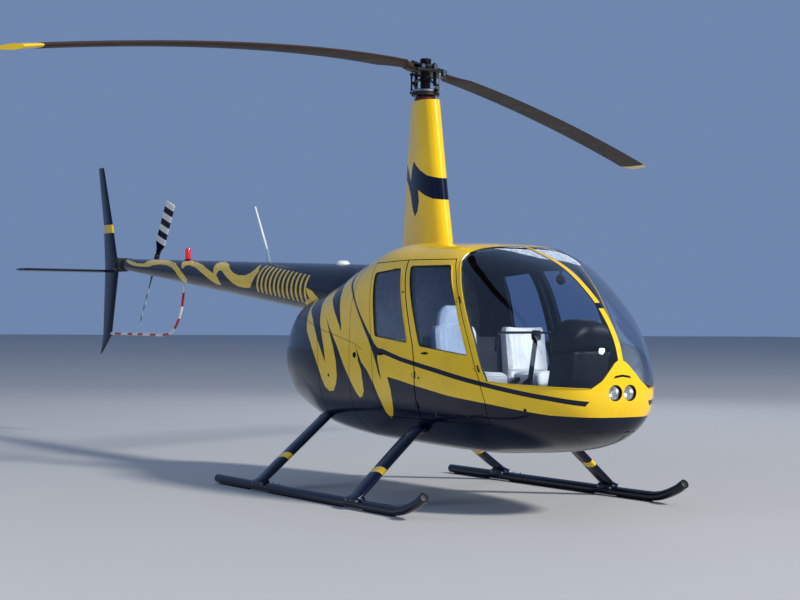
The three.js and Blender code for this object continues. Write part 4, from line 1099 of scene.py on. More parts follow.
def bisect(bm, faces, place, direction):
    """Cuts some faces by a plane and gives what they became."""
    edges = {e for f in faces for e in f.edges}
    verts = {v for f in faces for v in f.verts}
    cut = bmesh.ops.bisect_plane(
        bm, geom=[*faces, *edges, *verts], dist=0.4, plane_co=place, plane_no=direction)["geom"]
    return [g for g in cut if isinstance(g, bmesh.types.BMFace)]


def cut_outline(bm, outline, closed=True, flat=(0, 2), only=None, reach=CELL * 1.3):
    """Cuts a skin along an outline drawn in a flat view, given by the two directions that the view shows."""
    a, b = flat
    low = [min(p[i] for p in outline) - reach for i in (0, 1)]
    high = [max(p[i] for p in outline) + reach for i in (0, 1)]
    pool = {}
    for face in bm.faces:
        centre = face.calc_center_median()
        if low[0] < centre[a] < high[0] and low[1] < centre[b] < high[1] and (only is None or only(centre)):
            pool[face] = (centre[a], centre[b])
    for (sx, sy), (ex, ey) in legs(outline, closed):
        dx, dy = ex - sx, ey - sy
        length = dx * dx + dy * dy
        if length < 1e-6:
            continue
        near = []
        for face, (px, py) in pool.items():
            f = min(max(((px - sx) * dx + (py - sy) * dy) / length, 0), 1)
            if (px - sx - f * dx) ** 2 + (py - sy - f * dy) ** 2 < reach * reach:
                near.append(face)
        if not near:
            continue
        place, direction = Vector((0, 0, 0)), Vector((0, 0, 0))
        place[a], place[b] = sx, sy
        direction[a], direction[b] = -dy, dx
        for face in near:
            del pool[face]
        for face in bisect(bm, near, place, direction.normalized()):
            centre = face.calc_center_median()
            pool[face] = (centre[a], centre[b])


PANELS = [
    "cabin", "cowl", "front_door", "rear_door", "front_window", "rear_window", "windshield", "strip", "gone",
]


def body_panels():
    """Cuts the right half of the body along its seams and colours, and sorts the faces into panels."""
    bm = body_half()
    gap = size("door_gap")
    doors = {"front_door": inset(FRONT_DOOR, gap), "rear_door": inset(REAR_DOOR, gap)}
    windows = {f"{row}_window": outline for row, outline in WINDOWS.items()}
    for outline in (DOORWAY, *doors.values(), *windows.values(), YELLOW_FIELD, *BLACK_SHAPES):
        cut_outline(bm, outline)
    cut_outline(bm, [*WINDSHIELD_EDGE, *WINDSHIELD_SILL], closed=False)
    cut_outline(bm, [(FIREWALL_X, 300), (FIREWALL_X, 2000)], closed=False)
    lamp = circle(-LAMP_Y, LAMP_Z, LAMP_RADIUS + 3)
    for outline, closed in ((NOSE_PLATE, False), (NOSE_MARK, True), (lamp, True)):
        cut_outline(bm, outline, closed, (1, 2), lambda c: c.x > NOSE_X - 50)
    cut_outline(bm, circle(0, FAN_Z, FAN_HOLE), flat=(1, 2), only=lambda c: c.x < REAR_X)
    cut_outline(bm, [(1200, -STRIP), (2420, -STRIP)], closed=False, flat=(0, 1), only=lambda c: c.z > 850)
    rear, front, half = EXHAUST_BAY
    bay = [(rear, 5), (rear, -half), (front, -half), (front, 5)]
    cut_outline(bm, bay, closed=False, flat=(0, 1), only=lambda c: c.z < BAY_TOP)
    for z in STRIP_BAND:
        cut_outline(bm, [(1900, z), (2400, z)], closed=False, only=lambda c: abs(c.y) < 2 * STRIP)
    plate = [*NOSE_PLATE, (5, 1062), (5, 700), (-236, 700)]

    def panel_at(c):
        """Which panel a point of the skin belongs to."""
        if c.x < FIREWALL_X:
            hole = c.x < REAR_X and math.hypot(c.y, c.z - FAN_Z) < FAN_HOLE
            return "gone" if hole or (rear < c.x < front and c.y > -half and c.z < BAY_TOP) else "cowl"
        if inside(DOORWAY, c.x, c.z):
            return next((k for k, o in {**windows, **doors}.items() if inside(o, c.x, c.z)), "gone")
        if inside(WINDSHIELD, c.x, c.z) and not (c.x > NOSE_X and inside(plate, c.y, c.z)):
            return "strip" if c.y > -STRIP else "windshield"
        return "gone" if c.x > NOSE_X and inside(lamp, c.y, c.z) else "cabin"

    def is_black(c, panel):
        if panel == "strip":
            return STRIP_BAND[0] < c.z < STRIP_BAND[1]
        if c.x > NOSE_X and inside(NOSE_MARK, c.y, c.z):
            return True
        return not inside(YELLOW_FIELD, c.x, c.z) or any(inside(o, c.x, c.z) for o in BLACK_SHAPES)

    layer = bm.faces.layers.int.new("panel")
    for face in bm.faces:
        centre = face.calc_center_median()
        panel = panel_at(centre)
        face[layer] = PANELS.index(panel)
        face.material_index = 1 if is_black(centre, panel) else 0
    return bm


def take(bm, name, depth=0):
    """A copy of one panel of the body, sunk below the skin by a depth."""
    part = bm.copy()
    layer = part.faces.layers.int["panel"]
    number = PANELS.index(name)
    bmesh.ops.delete(part, geom=[f for f in part.faces if f[layer] != number], context="FACES")
    for vert in part.verts:
        vert.co -= vert.normal * depth
    return part


def skin_piece(name, bm, body, slot, materials, nodes, wall):
    """A piece cut from the body's skin. Its faces point outwards before it gets its wall."""
    face_outwards(bm)
    piece(name, bm, body, slot, materials, nodes, wall, closed=False)


class HELICOPTER_OT_body(bpy.types.Operator):
    """Cabin shell, engine cowl, doors, glazing and the windshield strip"""
    bl_idname = "helicopter.body"
    bl_label = "Body"

    def execute(self, context):
        bm = body_panels()
        skins = [yellow(), black(), lining()]
        wall, glass = (size("wall"), 2), (size("glass"), 0)
        for panel, name, slot, nodes, shell in (
                ("cabin", "cabin_shell", "yellow_paint", ("cabin_tub", "cabin_frame"), wall),
                ("cowl", "engine_cowling", "black_paint", ("engine_cowl",), (size("cowl_wall"), 2)),
                ("strip", "windshield_joint_strip", "yellow_paint", ("windshield_strip",), (STRIP_WALL, 2))):
            skin_piece(name, whole(take(bm, panel)), "root", slot, skins, nodes, shell)
        clear = [glazing("cast_acrylic_clear", "#E2E8F0", 0.98)]
        tinted = [glazing("cast_acrylic_tinted", "#A9BCD8", 0.95)]
        for row in WINDOWS:
            door, pane = take(bm, f"{row}_door"), take(bm, f"{row}_window", PANE_DEPTH["window"])
            halves = {"right": (door, pane), "left": (left_of(door), left_of(pane))}
            for side, (shape, window) in halves.items():
                body = f"{row}_{side}_door"
                skin_piece(f"{body}_shell", shape, body, "yellow_paint", skins, (f"door_{row}_{side}",), wall)
                nodes = (f"window_{row}_{side}",)
                skin_piece(f"{body}_pane", window, body, "clear_acrylic", tinted, nodes, glass)
        pane = take(bm, "windshield", PANE_DEPTH["windshield"])
        for side, half in (("right", pane), ("left", left_of(pane))):
            nodes = (f"windshield_{side}",)
            skin_piece(f"windshield_{side}_pane", half, "root", "clear_acrylic", clear, nodes, glass)
        bm.free()
        return {"FINISHED"}


def door_trim(bm, row, sign):
    """Window beads, hinges, studs and handle of one door, and the air scoop of a front door."""
    rim = size("rim")
    tube(bm, side_line(WINDOWS[row], sign, 2, True), rim * 0.7, 0, True)
    tube(bm, side_line(inset(WINDOWS[row], 6), sign, -2, True), 3.5, 1, True, 1)
    low, high = [on_side(x, z, 0, sign)[0] for x, z in HINGE_HEIGHTS[row]]
    aim = (high - low).normalized()
    for place in (low, high):
        for shift in HINGE_BARRELS:
            bar(bm, place + aim * (shift - 8), place + aim * (shift + 8), 7, 7, 14, 2, 1.2)
    for x, z in HINGE_HEIGHTS[row]:
        for dx, dz in HINGE_SCREWS:
            spot, out = on_side(x + dx, z + dz, 0, sign)
            bar(bm, spot - out, spot + out * 2.5, 4.5, 3.5, 10, 2, 0.5)
    for x, z in DOOR_STUDS[row]:
        place, out = on_side(x, z, 0, sign)
        bar(bm, place - out * 4, place + out * 6, 8, 6, 14, 1, 1)
    x, z = HANDLES[row]
    grip = [on_side(x + HANDLE_HALF * share, z, lift, sign)[0]
            for share, lift in ((-1, -2), (-0.7, 12), (0.7, 12), (1, -2))]
    tube(bm, flowing(grip, 5), 5.5, 1, False, 3)
    ball(bm, on_side(x, z, 0, sign)[0], (27, 2.5, 9), 1, 20, 10)
    if row == "front":
        place, _ = on_side(*AIR_SCOOP, 0, sign)
        ball(bm, place, (38, 10, 25), 3, 24, 12)
        ball(bm, place + Vector((12, sign * 4, 0)), (22, 8, 16), 1, 20, 10)


def seams(bm, sign):
    """Windshield bead, cowl seams, latch hole and static ports of one side."""
    edge = [*WINDSHIELD_EDGE[2:], *WINDSHIELD_SILL[:3]]
    tube(bm, side_line(edge, sign, 0.5), size("rim") * 0.8, 0)
    tube(bm, side_line(edge, sign, 1.5), 3.5, 1, False, 1)
    for seam in COWL_SEAMS:
        tube(bm, side_line(seam, sign, -0.8), 2.0, 1, False, 1)
    ball(bm, on_side(*LATCH_HOLE, 0, sign)[0], (30, 2.5, 22), 1, 24, 10)
    for x, z in STATIC_PORTS:
        place, out = on_side(x, z, 0, sign)
        bar(bm, place - out * 2, place + out * 3, 13, 11, 24, 2, 1)


def rivets(bm, sign):
    """Rivet heads of one side, in the colour of the skin under them."""
    head = size("rivet")
    for k, line in enumerate(RIVET_LINES):
        for p in dense(line, RIVET_PITCH):
            place, out = on_side(p.x, p.y, 0, sign)
            ball(bm, place, (head, head, head * 0.45), 0 if k < 2 else 1, 8, 4, facing(out))
    for z in FAIRING_RIVETS:
        for share in FAIRING_SEAMS:
            _, tail, nose, thick = between(FAIRING_ROWS, z)
            spot = [p for p in foil(nose - tail, thick, 240) if p[1] * sign > 0]
            along, across = min(spot, key=lambda p: abs(p[0] - (share - 0.5) * (nose - tail)))
            x = (tail + nose) / 2 + along
            ball(bm, (x, across, z), (head, head * 0.5, head), 1 if inside(SWOOSH, x, z) else 0, 8, 4)


class HELICOPTER_OT_body_trim(bpy.types.Operator):
    """Window beads, hinges, handles, studs, seams, rivets and compass"""
    bl_idname = "helicopter.body_trim"
    bl_label = "Body trim"

    def execute(self, context):
        skins = [yellow(), rubber(), dark_steel()]
        for row in WINDOWS:
            for side, sign in SIDES.items():
                bm = bmesh.new()
                door_trim(bm, row, sign)
                piece(f"{row}_{side}_door_trim", bm, f"{row}_{side}_door", "yellow_paint",
                      [*skins, enamel("teal_enamel", "teal", 0.5, 0.1)])
        for name, build, materials in (("body_seams", seams, skins), ("rivets", rivets, [yellow(), black()])):
            bm = bmesh.new()
            for sign in SIDES.values():
                build(bm, sign)
            piece(name, bm, "root", "yellow_paint", materials)
        bm = bmesh.new()
        x, z = COMPASS
        ball(bm, (x, 0, z), (COMPASS_RADIUS,) * 3, 0, 28, 16)
        bar(bm, (x, 0, z), (x, 0, z + 75), 7, 9, 16, 0)
        ring = [(26, -4), (COMPASS_RADIUS + 0.6, -4), (COMPASS_RADIUS + 0.6, 4), (26, 4)]
        turned(bm, ring, placed((x - 8, 0, z), 90), 32, 1)
        piece("compass", bm, "root", "dark_trim", [trim(), steel()])
        return {"FINISHED"}


class HELICOPTER_OT_cabin(bpy.types.Operator):
    """Floor and the posts between the doors"""
    bl_idname = "helicopter.cabin"
    bl_label = "Cabin"

    def execute(self, context):
        bm = bmesh.new()
        rings = []
        for k in range(49):
            x = FLOOR_REAR + (FLOOR_FRONT - FLOOR_REAR) * k / 48
            half = max(-side_point(x, FLOOR_Z).y - 30, 5)
            rings.append([Vector((x, half * (j / 6 - 1), FLOOR_Z)) for j in range(13)])
        skin_over(bm, rings, capped=False, closed=False)
        bm.normal_update()
        if bm.faces[:][0].normal.z < 0:
            bmesh.ops.reverse_faces(bm, faces=bm.faces[:])
        piece("cabin_floor_carpet", bm, "root", "dark_trim", [moulded("loop_carpet", "lining", 4, 0.9, 1.2)],
              wall=(20, 0), closed=False)
        bm = bmesh.new()
        for sign in (-1, 1):
            rings = []
            for p in dense(DOOR_SEAM, 40):
                rings.append([on_side(p.x + shift, p.y, -depth, sign)[0] for shift, depth in POST_CORNERS])
            skin_over(bm, rings)
        piece("door_posts", bm, "root", "dark_trim", [lining()])
        return {"FINISHED"}


class HELICOPTER_OT_mast(bpy.types.Operator):
    """Mast fairing"""
    bl_idname = "helicopter.mast"
    bl_label = "Mast fairing"

    def execute(self, context):
        bm = bmesh.new()
        low, high = FAIRING_ROWS[0][0], FAIRING_ROWS[-1][0]
        heights = [low + (high - low) * k / (FAIRING_RINGS - 1) for k in range(FAIRING_RINGS)]
        skin_over(bm, [standing_foil(between(FAIRING_ROWS, z), 72) for z in heights])
        cut_outline(bm, SWOOSH, reach=30)
        coloured(bm, lambda c: inside(SWOOSH, c.x, c.z))
        piece("mast_fairing_skin", bm, "root", "yellow_paint", [yellow(), black()], ("mast_fairing",))
        return {"FINISHED"}


def bar_outlines():
    """Plain slanted bars on the side of the tail cone."""
    made = []
    for k in range(BAR_COUNT):
        x, z = BAR_FIRST[0] + k * BAR_STEP[0], BAR_FIRST[1] + k * BAR_STEP[1]
        right, top = x + BAR_WIDTH, z + BAR_RISE
        made.append([(x, z), (right, z), (right + BAR_SLANT, top), (x + BAR_SLANT, top)])
    return made


class HELICOPTER_OT_tail_cone(bpy.types.Operator):
    """Tail cone with its ribbons, beacon and aerials"""
    bl_idname = "helicopter.tail_cone"
    bl_label = "Tail cone"

    def execute(self, context):
        bm = bmesh.new()
        rings = []
        for k in range(150):
            x = TAIL_CONE_FRONT + (TAIL_CONE_REAR - TAIL_CONE_FRONT) * k / 149
            x, top, bottom = between(TAIL_CONE_ROWS, x)
            middle, radius = (top + bottom) / 2, (top - bottom) / 2
            turns = [2 * math.pi * j / 56 for j in range(56)]
            rings.append([Vector((x, radius * math.sin(a), middle + radius * math.cos(a))) for a in turns])
        skin_over(bm, rings)
        shapes = [*TAIL_RIBBONS, *bar_outlines()]
        for shape in shapes:
            cut_outline(bm, shape, reach=40)
        coloured(bm, lambda c: any(inside(o, c.x, c.z) for o in shapes))
        piece("tail_cone_skin", bm, "root", "black_paint", [black(), yellow()], ("tail_cone",))
        bm = bmesh.new()
        x, top, _ = between(TAIL_CONE_ROWS, BEACON_X)
        turned(bm, [(radius, top + height) for radius, height in BEACON_BASE], placed((x, 0, 0)), 28, 0)
        turned(bm, [(0, top + 10), (27, top + 10), *BEACON_LENS], placed((x, 0, 0)), 28, 1)
        piece("beacon", bm, "root", "red_paint", [black(), lens("red_polycarbonate", "#C4101C", 0.4)])
        bm = bmesh.new()
        bar(bm, *WHIP[:2], 22, 11, 20, 0)
        bar(bm, *WHIP[2:], 10.5, 8, 16, 1, 2)
        ball(bm, WHIP_PLATE, (46, 16, 11), 0)
        turned(bm, DISC_AERIAL, placed((DISC_AERIAL_X, 0, 0)), 32, 1)
        piece("aerials", bm, "root", "striped_paint", [enamel("pale_enamel", "aerial", 0.35, 0.3), white()])
        return {"FINISHED"}


def blade_rings(drop):
    """Rings of a main blade along x, drooping and twisted."""
    stations = []
    for (share, width), (after, wide) in zip(BLADE_STATIONS, BLADE_STATIONS[1:]):
        steps = max(2, math.ceil((after - share) * ROTOR_RADIUS / 90))
        for k in range(steps):
            stations.append((share + (after - share) * k / steps, width + (wide - width) * k / steps))
    stations.append(BLADE_STATIONS[-1])
    rings = []
    root, rest = BLADE_THICKNESS
    for share, width in stations:
        thick = root - (root - rest) * min(max((share - 0.08) / 0.035, 0), 1)
        pitch = math.radians(BLADE_TWIST * (1 - share))
        z = HUB_Z - drop * share ** BLADE_SAG
        rings.append([
            Vector((share * ROTOR_RADIUS, c * math.cos(pitch) - w * math.sin(pitch),
                    z + c * math.sin(pitch) + w * math.cos(pitch)))
            for c, w in foil(ROTOR_CHORD * width, thick)])
    return rings


class HELICOPTER_OT_main_blades(bpy.types.Operator):
    """The two main rotor blades"""
    bl_idname = "helicopter.main_blades"
    bl_label = "Main blades"

    def execute(self, context):
        limit = ROTOR_RADIUS * BLADE_TIP_PAINT
        for name, turn in (("near", 0), ("far", 180)):
            bm = bmesh.new()
            skin_over(bm, blade_rings(BLADE_DROP[name]))
            bisect(bm, bm.faces[:], Vector((limit, 0, 0)), Vector((1, 0, 0)))
            coloured(bm, lambda c: c.x > limit)
            moved(bm, placed((0, 0, 0), ROTOR_AZIMUTH + turn, "Z"))
            piece(f"{name}_main_blade", bm, "main_rotor", "blade_paint",
                  [enamel("epoxy_blade_enamel", "blade", 0.5, 0.05, 0.15), yellow()], (f"main_blade_{name}",))
        return {"FINISHED"}


class HELICOPTER_OT_tail_surfaces(bpy.types.Operator):
    """Fin, stabiliser and the guard under the tail rotor"""
    bl_idname = "helicopter.tail_surfaces"
    bl_label = "Tail surfaces"

    def execute(self, context):
        bm = bmesh.new()
        low, high = FIN_ROWS[0][0], FIN_ROWS[-1][0]
        even = {low + (high - low) * k / 60 for k in range(61)}
        heights = sorted({row[0] for row in FIN_ROWS} | even | set(FIN_BAND))
        skin_over(bm, [standing_foil(between(FIN_ROWS, z), 40) for z in heights])
        coloured(bm, lambda c: FIN_BAND[0] < c.z < FIN_BAND[1])
        piece("fin_skin", bm, "root", "black_paint", [black(), yellow()], ("vertical_fin",))
        bm = bmesh.new()
        rings = []
        x, z = STABILISER_AXIS
        chord, thick = STABILISER_FOIL
        start, loss = STABILISER_TAPER
        for k in range(31):
            y = STABILISER_ROOT + (STABILISER_TIP - STABILISER_ROOT) * k / 30
            share = 1 - loss * max(y - start, 0) / (STABILISER_TIP - start)
            rings.append([Vector((x + c, -y, z + w)) for c, w in foil(chord * share, thick * share, 40)])
        skin_over(bm, rings)
        piece("stabiliser_skin", bm, "root", "black_paint", [black()], ("horizontal_stabilizer",))
        bm = bmesh.new()
        line = flowing(GUARD_PATH, 8)
        start, length, band = 0, 0, 0
        for i in range(1, len(line)):
            length += (line[i] - line[i - 1]).length
            if length > GUARD_BAND or i == len(line) - 1:
                tube(bm, line[start:i + 1], GUARD_RADIUS, band % 2)
                start, length, band = i, 0, band + 1
        piece("guard_tube", bm, "root", "red_paint", [white(), red()], ("tail_guard",))
        return {"FINISHED"}


def strut_ring(points, i, chord, thick):
    """Ring of a streamlined tube at one point of its line, its foot cut off level."""
    before, after = points[max(i - 1, 0)], points[min(i + 1, len(points) - 1)]
    along = (after - before).normalized()
    chord_axis = (Vector((1, 0, 0)) - along * along.x).normalized()
    flat_axis = chord_axis.cross(along).normalized()
    ring = [points[i] + chord_axis * a + flat_axis * b for a, b in foil(chord, thick, 28)]
    for corner in ring:
        corner.z = max(corner.z, FOOT_Z)
    return ring


def cross_tube(rows):
    """A bowed tube from skid to skid, with a yellow band round each leg."""
    bm = bmesh.new()
    fine = flowing(rows, 10)
    right = [Vector((x, -y, z)) for x, y, z, _, _ in fine]
    points = [*right, *[Vector((p.x, -p.y, p.z)) for p in reversed(right)]]
    widths = [(r[3], r[4]) for r in fine]
    widths += widths[::-1]
    skin_over(bm, [strut_ring(points, i, *widths[i]) for i in range(len(points))])
    foot, knee = [Vector((x, -y, z)) for x, y, z, _, _ in rows[:2]]
    along = (knee - foot).normalized()
    shares = [(z - foot.z) / (knee.z - foot.z) for z in STRUT_BAND]
    for share in shares:
        for flip in (Vector((1, 1, 1)), Vector((1, -1, 1))):
            near = [f for f in bm.faces if f.calc_center_median().y * flip.y < -400]
            bisect(bm, near, foot.lerp(knee, share) * flip, along * flip)

    def in_band(c):
        share = (Vector((c.x, -abs(c.y), c.z)) - foot).dot(along) / (knee - foot).length
        return shares[0] < share < shares[1] and abs(c.y) > 450

    coloured(bm, in_band)
    return bm


def skid(y):
    """A skid with its shoes, screws, feet of the cross tubes and wheel pegs."""
    bm = bmesh.new()
    line = [Vector((p.x, y, p.y)) for p in flowing(SKID_PATH, 10)]
    tube(bm, line, SKID_RADIUS, 0, False, 6)
    ball(bm, line[-1], (5, SKID_RADIUS - 1, SKID_RADIUS - 2), 1, 20, 10, placed((0, 0, 0), -30))
    for rear, front in SHOES:
        block(bm, (rear, y - 20, 0), (front, y + 20, 30), 4, 1)
        for k in range(4):
            x = rear + (front - rear) * (k + 0.5) / 4
            for edge in (-1, 1):
                ball(bm, (x, y + edge * 20, 20), (7, 4, 7), 2, 10, 6)
    for rows in STRUTS.values():
        x = rows[0][0]
        block(bm, (x - 92, y - 30, 30), (x + 92, y + 30, FOOT_Z + 6), 12, 0, 3)
        for shift in (-70, 70):
            for edge in (-1, 1):
                bolt(bm, (x + shift, y + edge * 30, 62), (0, edge, 0), 8, 8, 2)
    for x in WHEEL_PEGS:
        bar(bm, (x, y, 60), (x, y, 84), 9, 8, 14, 2, 1.5)
    return bm


class HELICOPTER_OT_landing_gear(bpy.types.Operator):
    """Cross tubes, skids and their shoes"""
    bl_idname = "helicopter.landing_gear"
    bl_label = "Landing gear"

    def execute(self, context):
        for row, rows in STRUTS.items():
            skins = [black(), yellow()]
            piece(f"{row}_cross_tube", cross_tube(rows), "root", "black_paint", skins, (f"cross_tube_{row}",))
        for side, sign in SIDES.items():
            skins = [black(), dark_steel(), steel()]
            piece(f"{side}_skid", skid(sign * TRACK / 2), "root", "black_paint", skins, (f"skid_{side}",))
        return {"FINISHED"}


def filled(bm, swell):
    """Fills a pad's cover: cloth under pressure, each point held near where it started."""
    moved(bm, Matrix.Scale(MM, 4))
    mesh = bpy.data.meshes.new("pad")
    bm.to_mesh(mesh)
    bm.free()
    pad = bpy.data.objects.new("pad", mesh)
    scene = bpy.context.scene
    scene.collection.objects.link(pad)
    even = pad.modifiers.new("even", "REMESH")
    even.mode = "VOXEL"
    even.voxel_size = SEAT_VOXEL * MM
    graph = bpy.context.evaluated_depsgraph_get()
    pad.data = bpy.data.meshes.new_from_object(pad.evaluated_get(graph), depsgraph=graph)
    pad.modifiers.clear()
    starts = [v.co.copy() for v in pad.data.vertices]
    ends = starts
    cloth = pad.modifiers.new("filling", "CLOTH")
    cloth.settings.effector_weights.gravity = 0
    for name, value in CLOTH.items():
        setattr(cloth.settings, name, value)
    cloth.point_cache.frame_start = 1
    cloth.point_cache.frame_end = FILL_FRAMES
    for number in range(1, FILL_FRAMES + 1):
        scene.frame_set(number)
    graph = bpy.context.evaluated_depsgraph_get()
    ends = [v.co.copy() for v in pad.evaluated_get(graph).data.vertices]
    pad.modifiers.clear()
    scene.frame_set(1)
    made = bmesh.new()
    made.from_mesh(pad.data)
    made.verts.ensure_lookup_table()
    for vert, start, end in zip(made.verts, starts, ends):
        move = end - start
        if move.length > swell * MM:
            move = move.normalized() * swell * MM
        vert.co = (start + move) / MM
    mesh = pad.data
    bpy.data.objects.remove(pad)
    bpy.data.meshes.remove(mesh)
    return made


def pleated(bm, out, middle, low, high, along):
    """Sews channels into a pad's face: grooves along it every PLEAT_PITCH, fading at the pad's rims."""
    bm.normal_update()
    moves = []
    for vert in bm.verts:
        lean = vert.normal.dot(out)
        place = vert.co[along]
        across = abs(vert.co.y - middle)
        if lean > 0.5 and low < place < high and across < PLEAT_HALF:
            fade = min((place - low) / 25, (high - place) / 25, (PLEAT_HALF - across) / 12, 1)
            groove = 1 - abs(math.sin(math.pi * (vert.co.y - middle) / PLEAT_PITCH))
            moves.append((vert, out * (-PLEAT_DEPTH * fade * groove ** 2)))
    for vert, move in moves:
        vert.co += move


def piping(bm, loop):
    """A welt sewn round a pad, laid on its surface."""
    tree = BVHTree.FromBMesh(bm)
    line = []
    for point in dense(loop, 12, True):
        place, normal, _, _ = tree.find_nearest(point)
        line.append(place + normal * PIPING_RADIUS * 0.3)
    tube(bm, line, PIPING_RADIUS, 0, True, 2)


def cushion_cover(back, length, middle):
    """Seat cushion before it is filled, and the line of its piping."""
    outline = rounded(oblong(back + 186, back + length + 48, middle, SEAT_HALF - 3), 38)
    bm = bmesh.new()
    slab(bm, outline, CUSHION_Z + 3, CUSHION_Z + 85, (0, 1), 14)
    return bm, inset(outline, 5)


def back_cover(back, shoulder, top, middle):
    """Seat back with its headrest, drawn as rings from the seat up."""
    half = SEAT_HALF - 3
    bm = bmesh.new()
    rings = []
    for z in (842, 856, 900, 935, 1000, 1080, shoulder - 60, shoulder - 22, shoulder - 8):
        share = min(max((z - 935) / (shoulder - 935), 0), 1)
        low = min((z - 840) / 95, 1)
        front = back + 172 - 16 * low - 58 * share
        rear = back + 66 - 36 * (z - 840) / (shoulder - 88 - 840)
        width = half - (10 if z in (842, shoulder - 8) else 0) - (14 if z > shoulder - 30 else 0)
        outline = rounded(oblong(rear, front, middle, width), min(22, (front - rear) * 0.3))
        rings.append([Vector((x, y, z)) for x, y in outline])
    skin_over(bm, rings)
    if top > shoulder:
        rings = []
        for z, wide, thick in ((shoulder - 34, 128, 24), (shoulder - 4, 140, 27), (shoulder + 40, 138, 29),
                               (shoulder + 90, 118, 28), (shoulder + 128, 86, 24), (top - 4, 52, 15)):
            centre = back + 58 - 8 * (z - shoulder) / (top - shoulder)
            outline = rounded(oblong(centre - thick, centre + thick, middle, wide), thick * 0.8)
            rings.append([Vector((x, y, z)) for x, y in outline])
        skin_over(bm, rings)
    return bm


def cushion(back, length, middle):
    """A filled seat cushion, flat where it meets its base and the seat back."""
    cover, seam = cushion_cover(back, length, middle)
    pad = filled(cover, SWELL["cushion"])
    for vert in pad.verts:
        vert.co.z = max(vert.co.z, CUSHION_Z + 1)
        vert.co.x = max(vert.co.x, back + 184)
    pleated(pad, Vector((0, 0, 1)), middle, back + 215, back + length + 20, 0)
    piping(pad, [Vector((x, y, CUSHION_Z + 82)) for x, y in seam])
    return pad


def seat_back(back, shoulder, top, middle):
    """A filled seat back, clear of the wall behind it and of its cushion."""
    pad = filled(back_cover(back, shoulder, top, middle), SWELL["back"])
    for vert in pad.verts:
        vert.co.z = max(vert.co.z, CUSHION_Z + 1)
        vert.co.x = max(vert.co.x, back + 24)
        if vert.co.z < CUSHION_Z + 100:
            vert.co.x = min(vert.co.x, back + 178 - 18 * (vert.co.z - CUSHION_Z) / 95)
    pleated(pad, Vector((1, 0, 0)), middle, 950, shoulder - 30, 2)
    half = SEAT_HALF - 12
    rim = [(back + 150, -half, 950), (back + 104, -half, shoulder - 14), (back + 104, half, shoulder - 14),
           (back + 150, half, 950)]
    piping(pad, [Vector((x, middle + y, z)) for x, y, z in rim])
    return pad


class HELICOPTER_OT_seats(bpy.types.Operator):
    """Leather seats, their covers filled as cloth, and the finish of their bases"""
    bl_idname = "helicopter.seats"
    bl_label = "Seats"

    def execute(self, context):
        for row, (back, length, shoulder, top) in SEATS.items():
            pad = cushion(back, length, -SEAT_MIDDLE)
            rests = [seat_back(back, shoulder, crest, -SEAT_MIDDLE) for crest in sorted({shoulder, top})]
            # In front, only the right seat has a headrest
            shapes = {f"seat_cushion_{row}": (left_of(pad), pad),
                      f"seat_back_{row}": (left_of(rests[0]), rests[-1])}
            for name, sides in shapes.items():
                for side, shape in zip(("left", "right"), sides):
                    obj = piece(f"{name}_{side}_leather", shape, "root", "cream_leather", [hide()],
                                (f"{name}_{side}",), sharp=80, subdivide=1)
            own_finish(f"seat_base_{row}", moulded("vinyl_seat_base", "lining", 2.2, 0.7))
        return {"FINISHED"}


def loaf(bm, outline, half, soft, crown=None):
    """A body drawn out across y from a side outline, its ends rounded off and its top lowered by a crown."""
    corners = [math.pi / 2 * k / 5 for k in range(6)]
    levels = [(-half + soft * (1 - math.cos(a)), soft * (1 - math.sin(a))) for a in corners]
    middle = [(-half + soft + (2 * half - 2 * soft) * k / 12, 0) for k in range(1, 12)]
    rings = []
    for y, depth in [*levels, *middle, *[(-y, depth) for y, depth in reversed(levels)]]:
        edge = inset(outline, depth) if depth > 0.01 else outline
        rings.append([Vector((x, y, crown(y, z) if crown else z)) for x, z in edge])
    skin_over(bm, rings)


def hood_height(y, z):
    """The hood's height at a distance from the middle, lower towards its sides."""
    low, high = HOOD[0][1], HOOD[-1][1]
    drop = HOOD_CROWN * max((abs(y) - 40) / (HOOD_HALF - 40), 0) ** 2
    return low + (z - low) * (high - drop - low) / (high - low)


def dial(bm, y, z, radius):
    """An instrument on the panel: bezel, face, ten marks and a pointer."""
    (x0, z0), (x1, z1) = DIAL_FACE
    place = placed((x0 + (x1 - x0) * (z - z0) / (z1 - z0) + 1, y, z), -89)
    turned(bm, [(0, 0), (radius, 0), (radius, 5), (radius - 4, 8), (radius - 7, 4), (0, 4)], place, 32, 1)
    turned(bm, [(0, 4.2), (radius - 8, 4.2), (0, 4.3)], place, 32, 2)
    for k in range(10):
        spoke = place @ placed((0, 0, 0), 40 + 280 * k / 9, "Z")
        block(bm, (radius * 0.62, -0.8, 4.4), (radius * 0.76, 0.8, 4.9), 0, 3, 1, spoke)
    spoke = place @ placed((0, 0, 0), 70 + 13 * (y % 17), "Z")
    block(bm, (-6, -1.3, 5), (radius * 0.62, 1.3, 5.8), 0, 3, 1, spoke)


def radio(bm, z):
    """One unit of the pedestal: its front plate, display and two knobs."""
    x = 1781 + (z - 860) * 58 / 240
    block(bm, (x - 6, -82, z), (x + 8, 82, z + 44), 2.5, 1)
    block(bm, (x - 7.5, -40, z + 12), (x - 5, 40, z + 34), 1, 4)
    for y in (-66, 66):
        bar(bm, (x - 5, y, z + 22), (x - 17, y, z + 22), 8, 7, 16, 1, 1)


def console():
    """Pedestal and hood with their dials and radios."""
    bm = bmesh.new()
    loaf(bm, rounded(PEDESTAL, 22, 4), PEDESTAL_HALF, 16)
    loaf(bm, rounded(HOOD, 48, 6), HOOD_HALF, 45, hood_height)
    for y, z, radius in DIALS:
        dial(bm, y, z, radius)
    for k in RADIOS:
        radio(bm, RADIO_Z + k * RADIO_PITCH)
    return bm


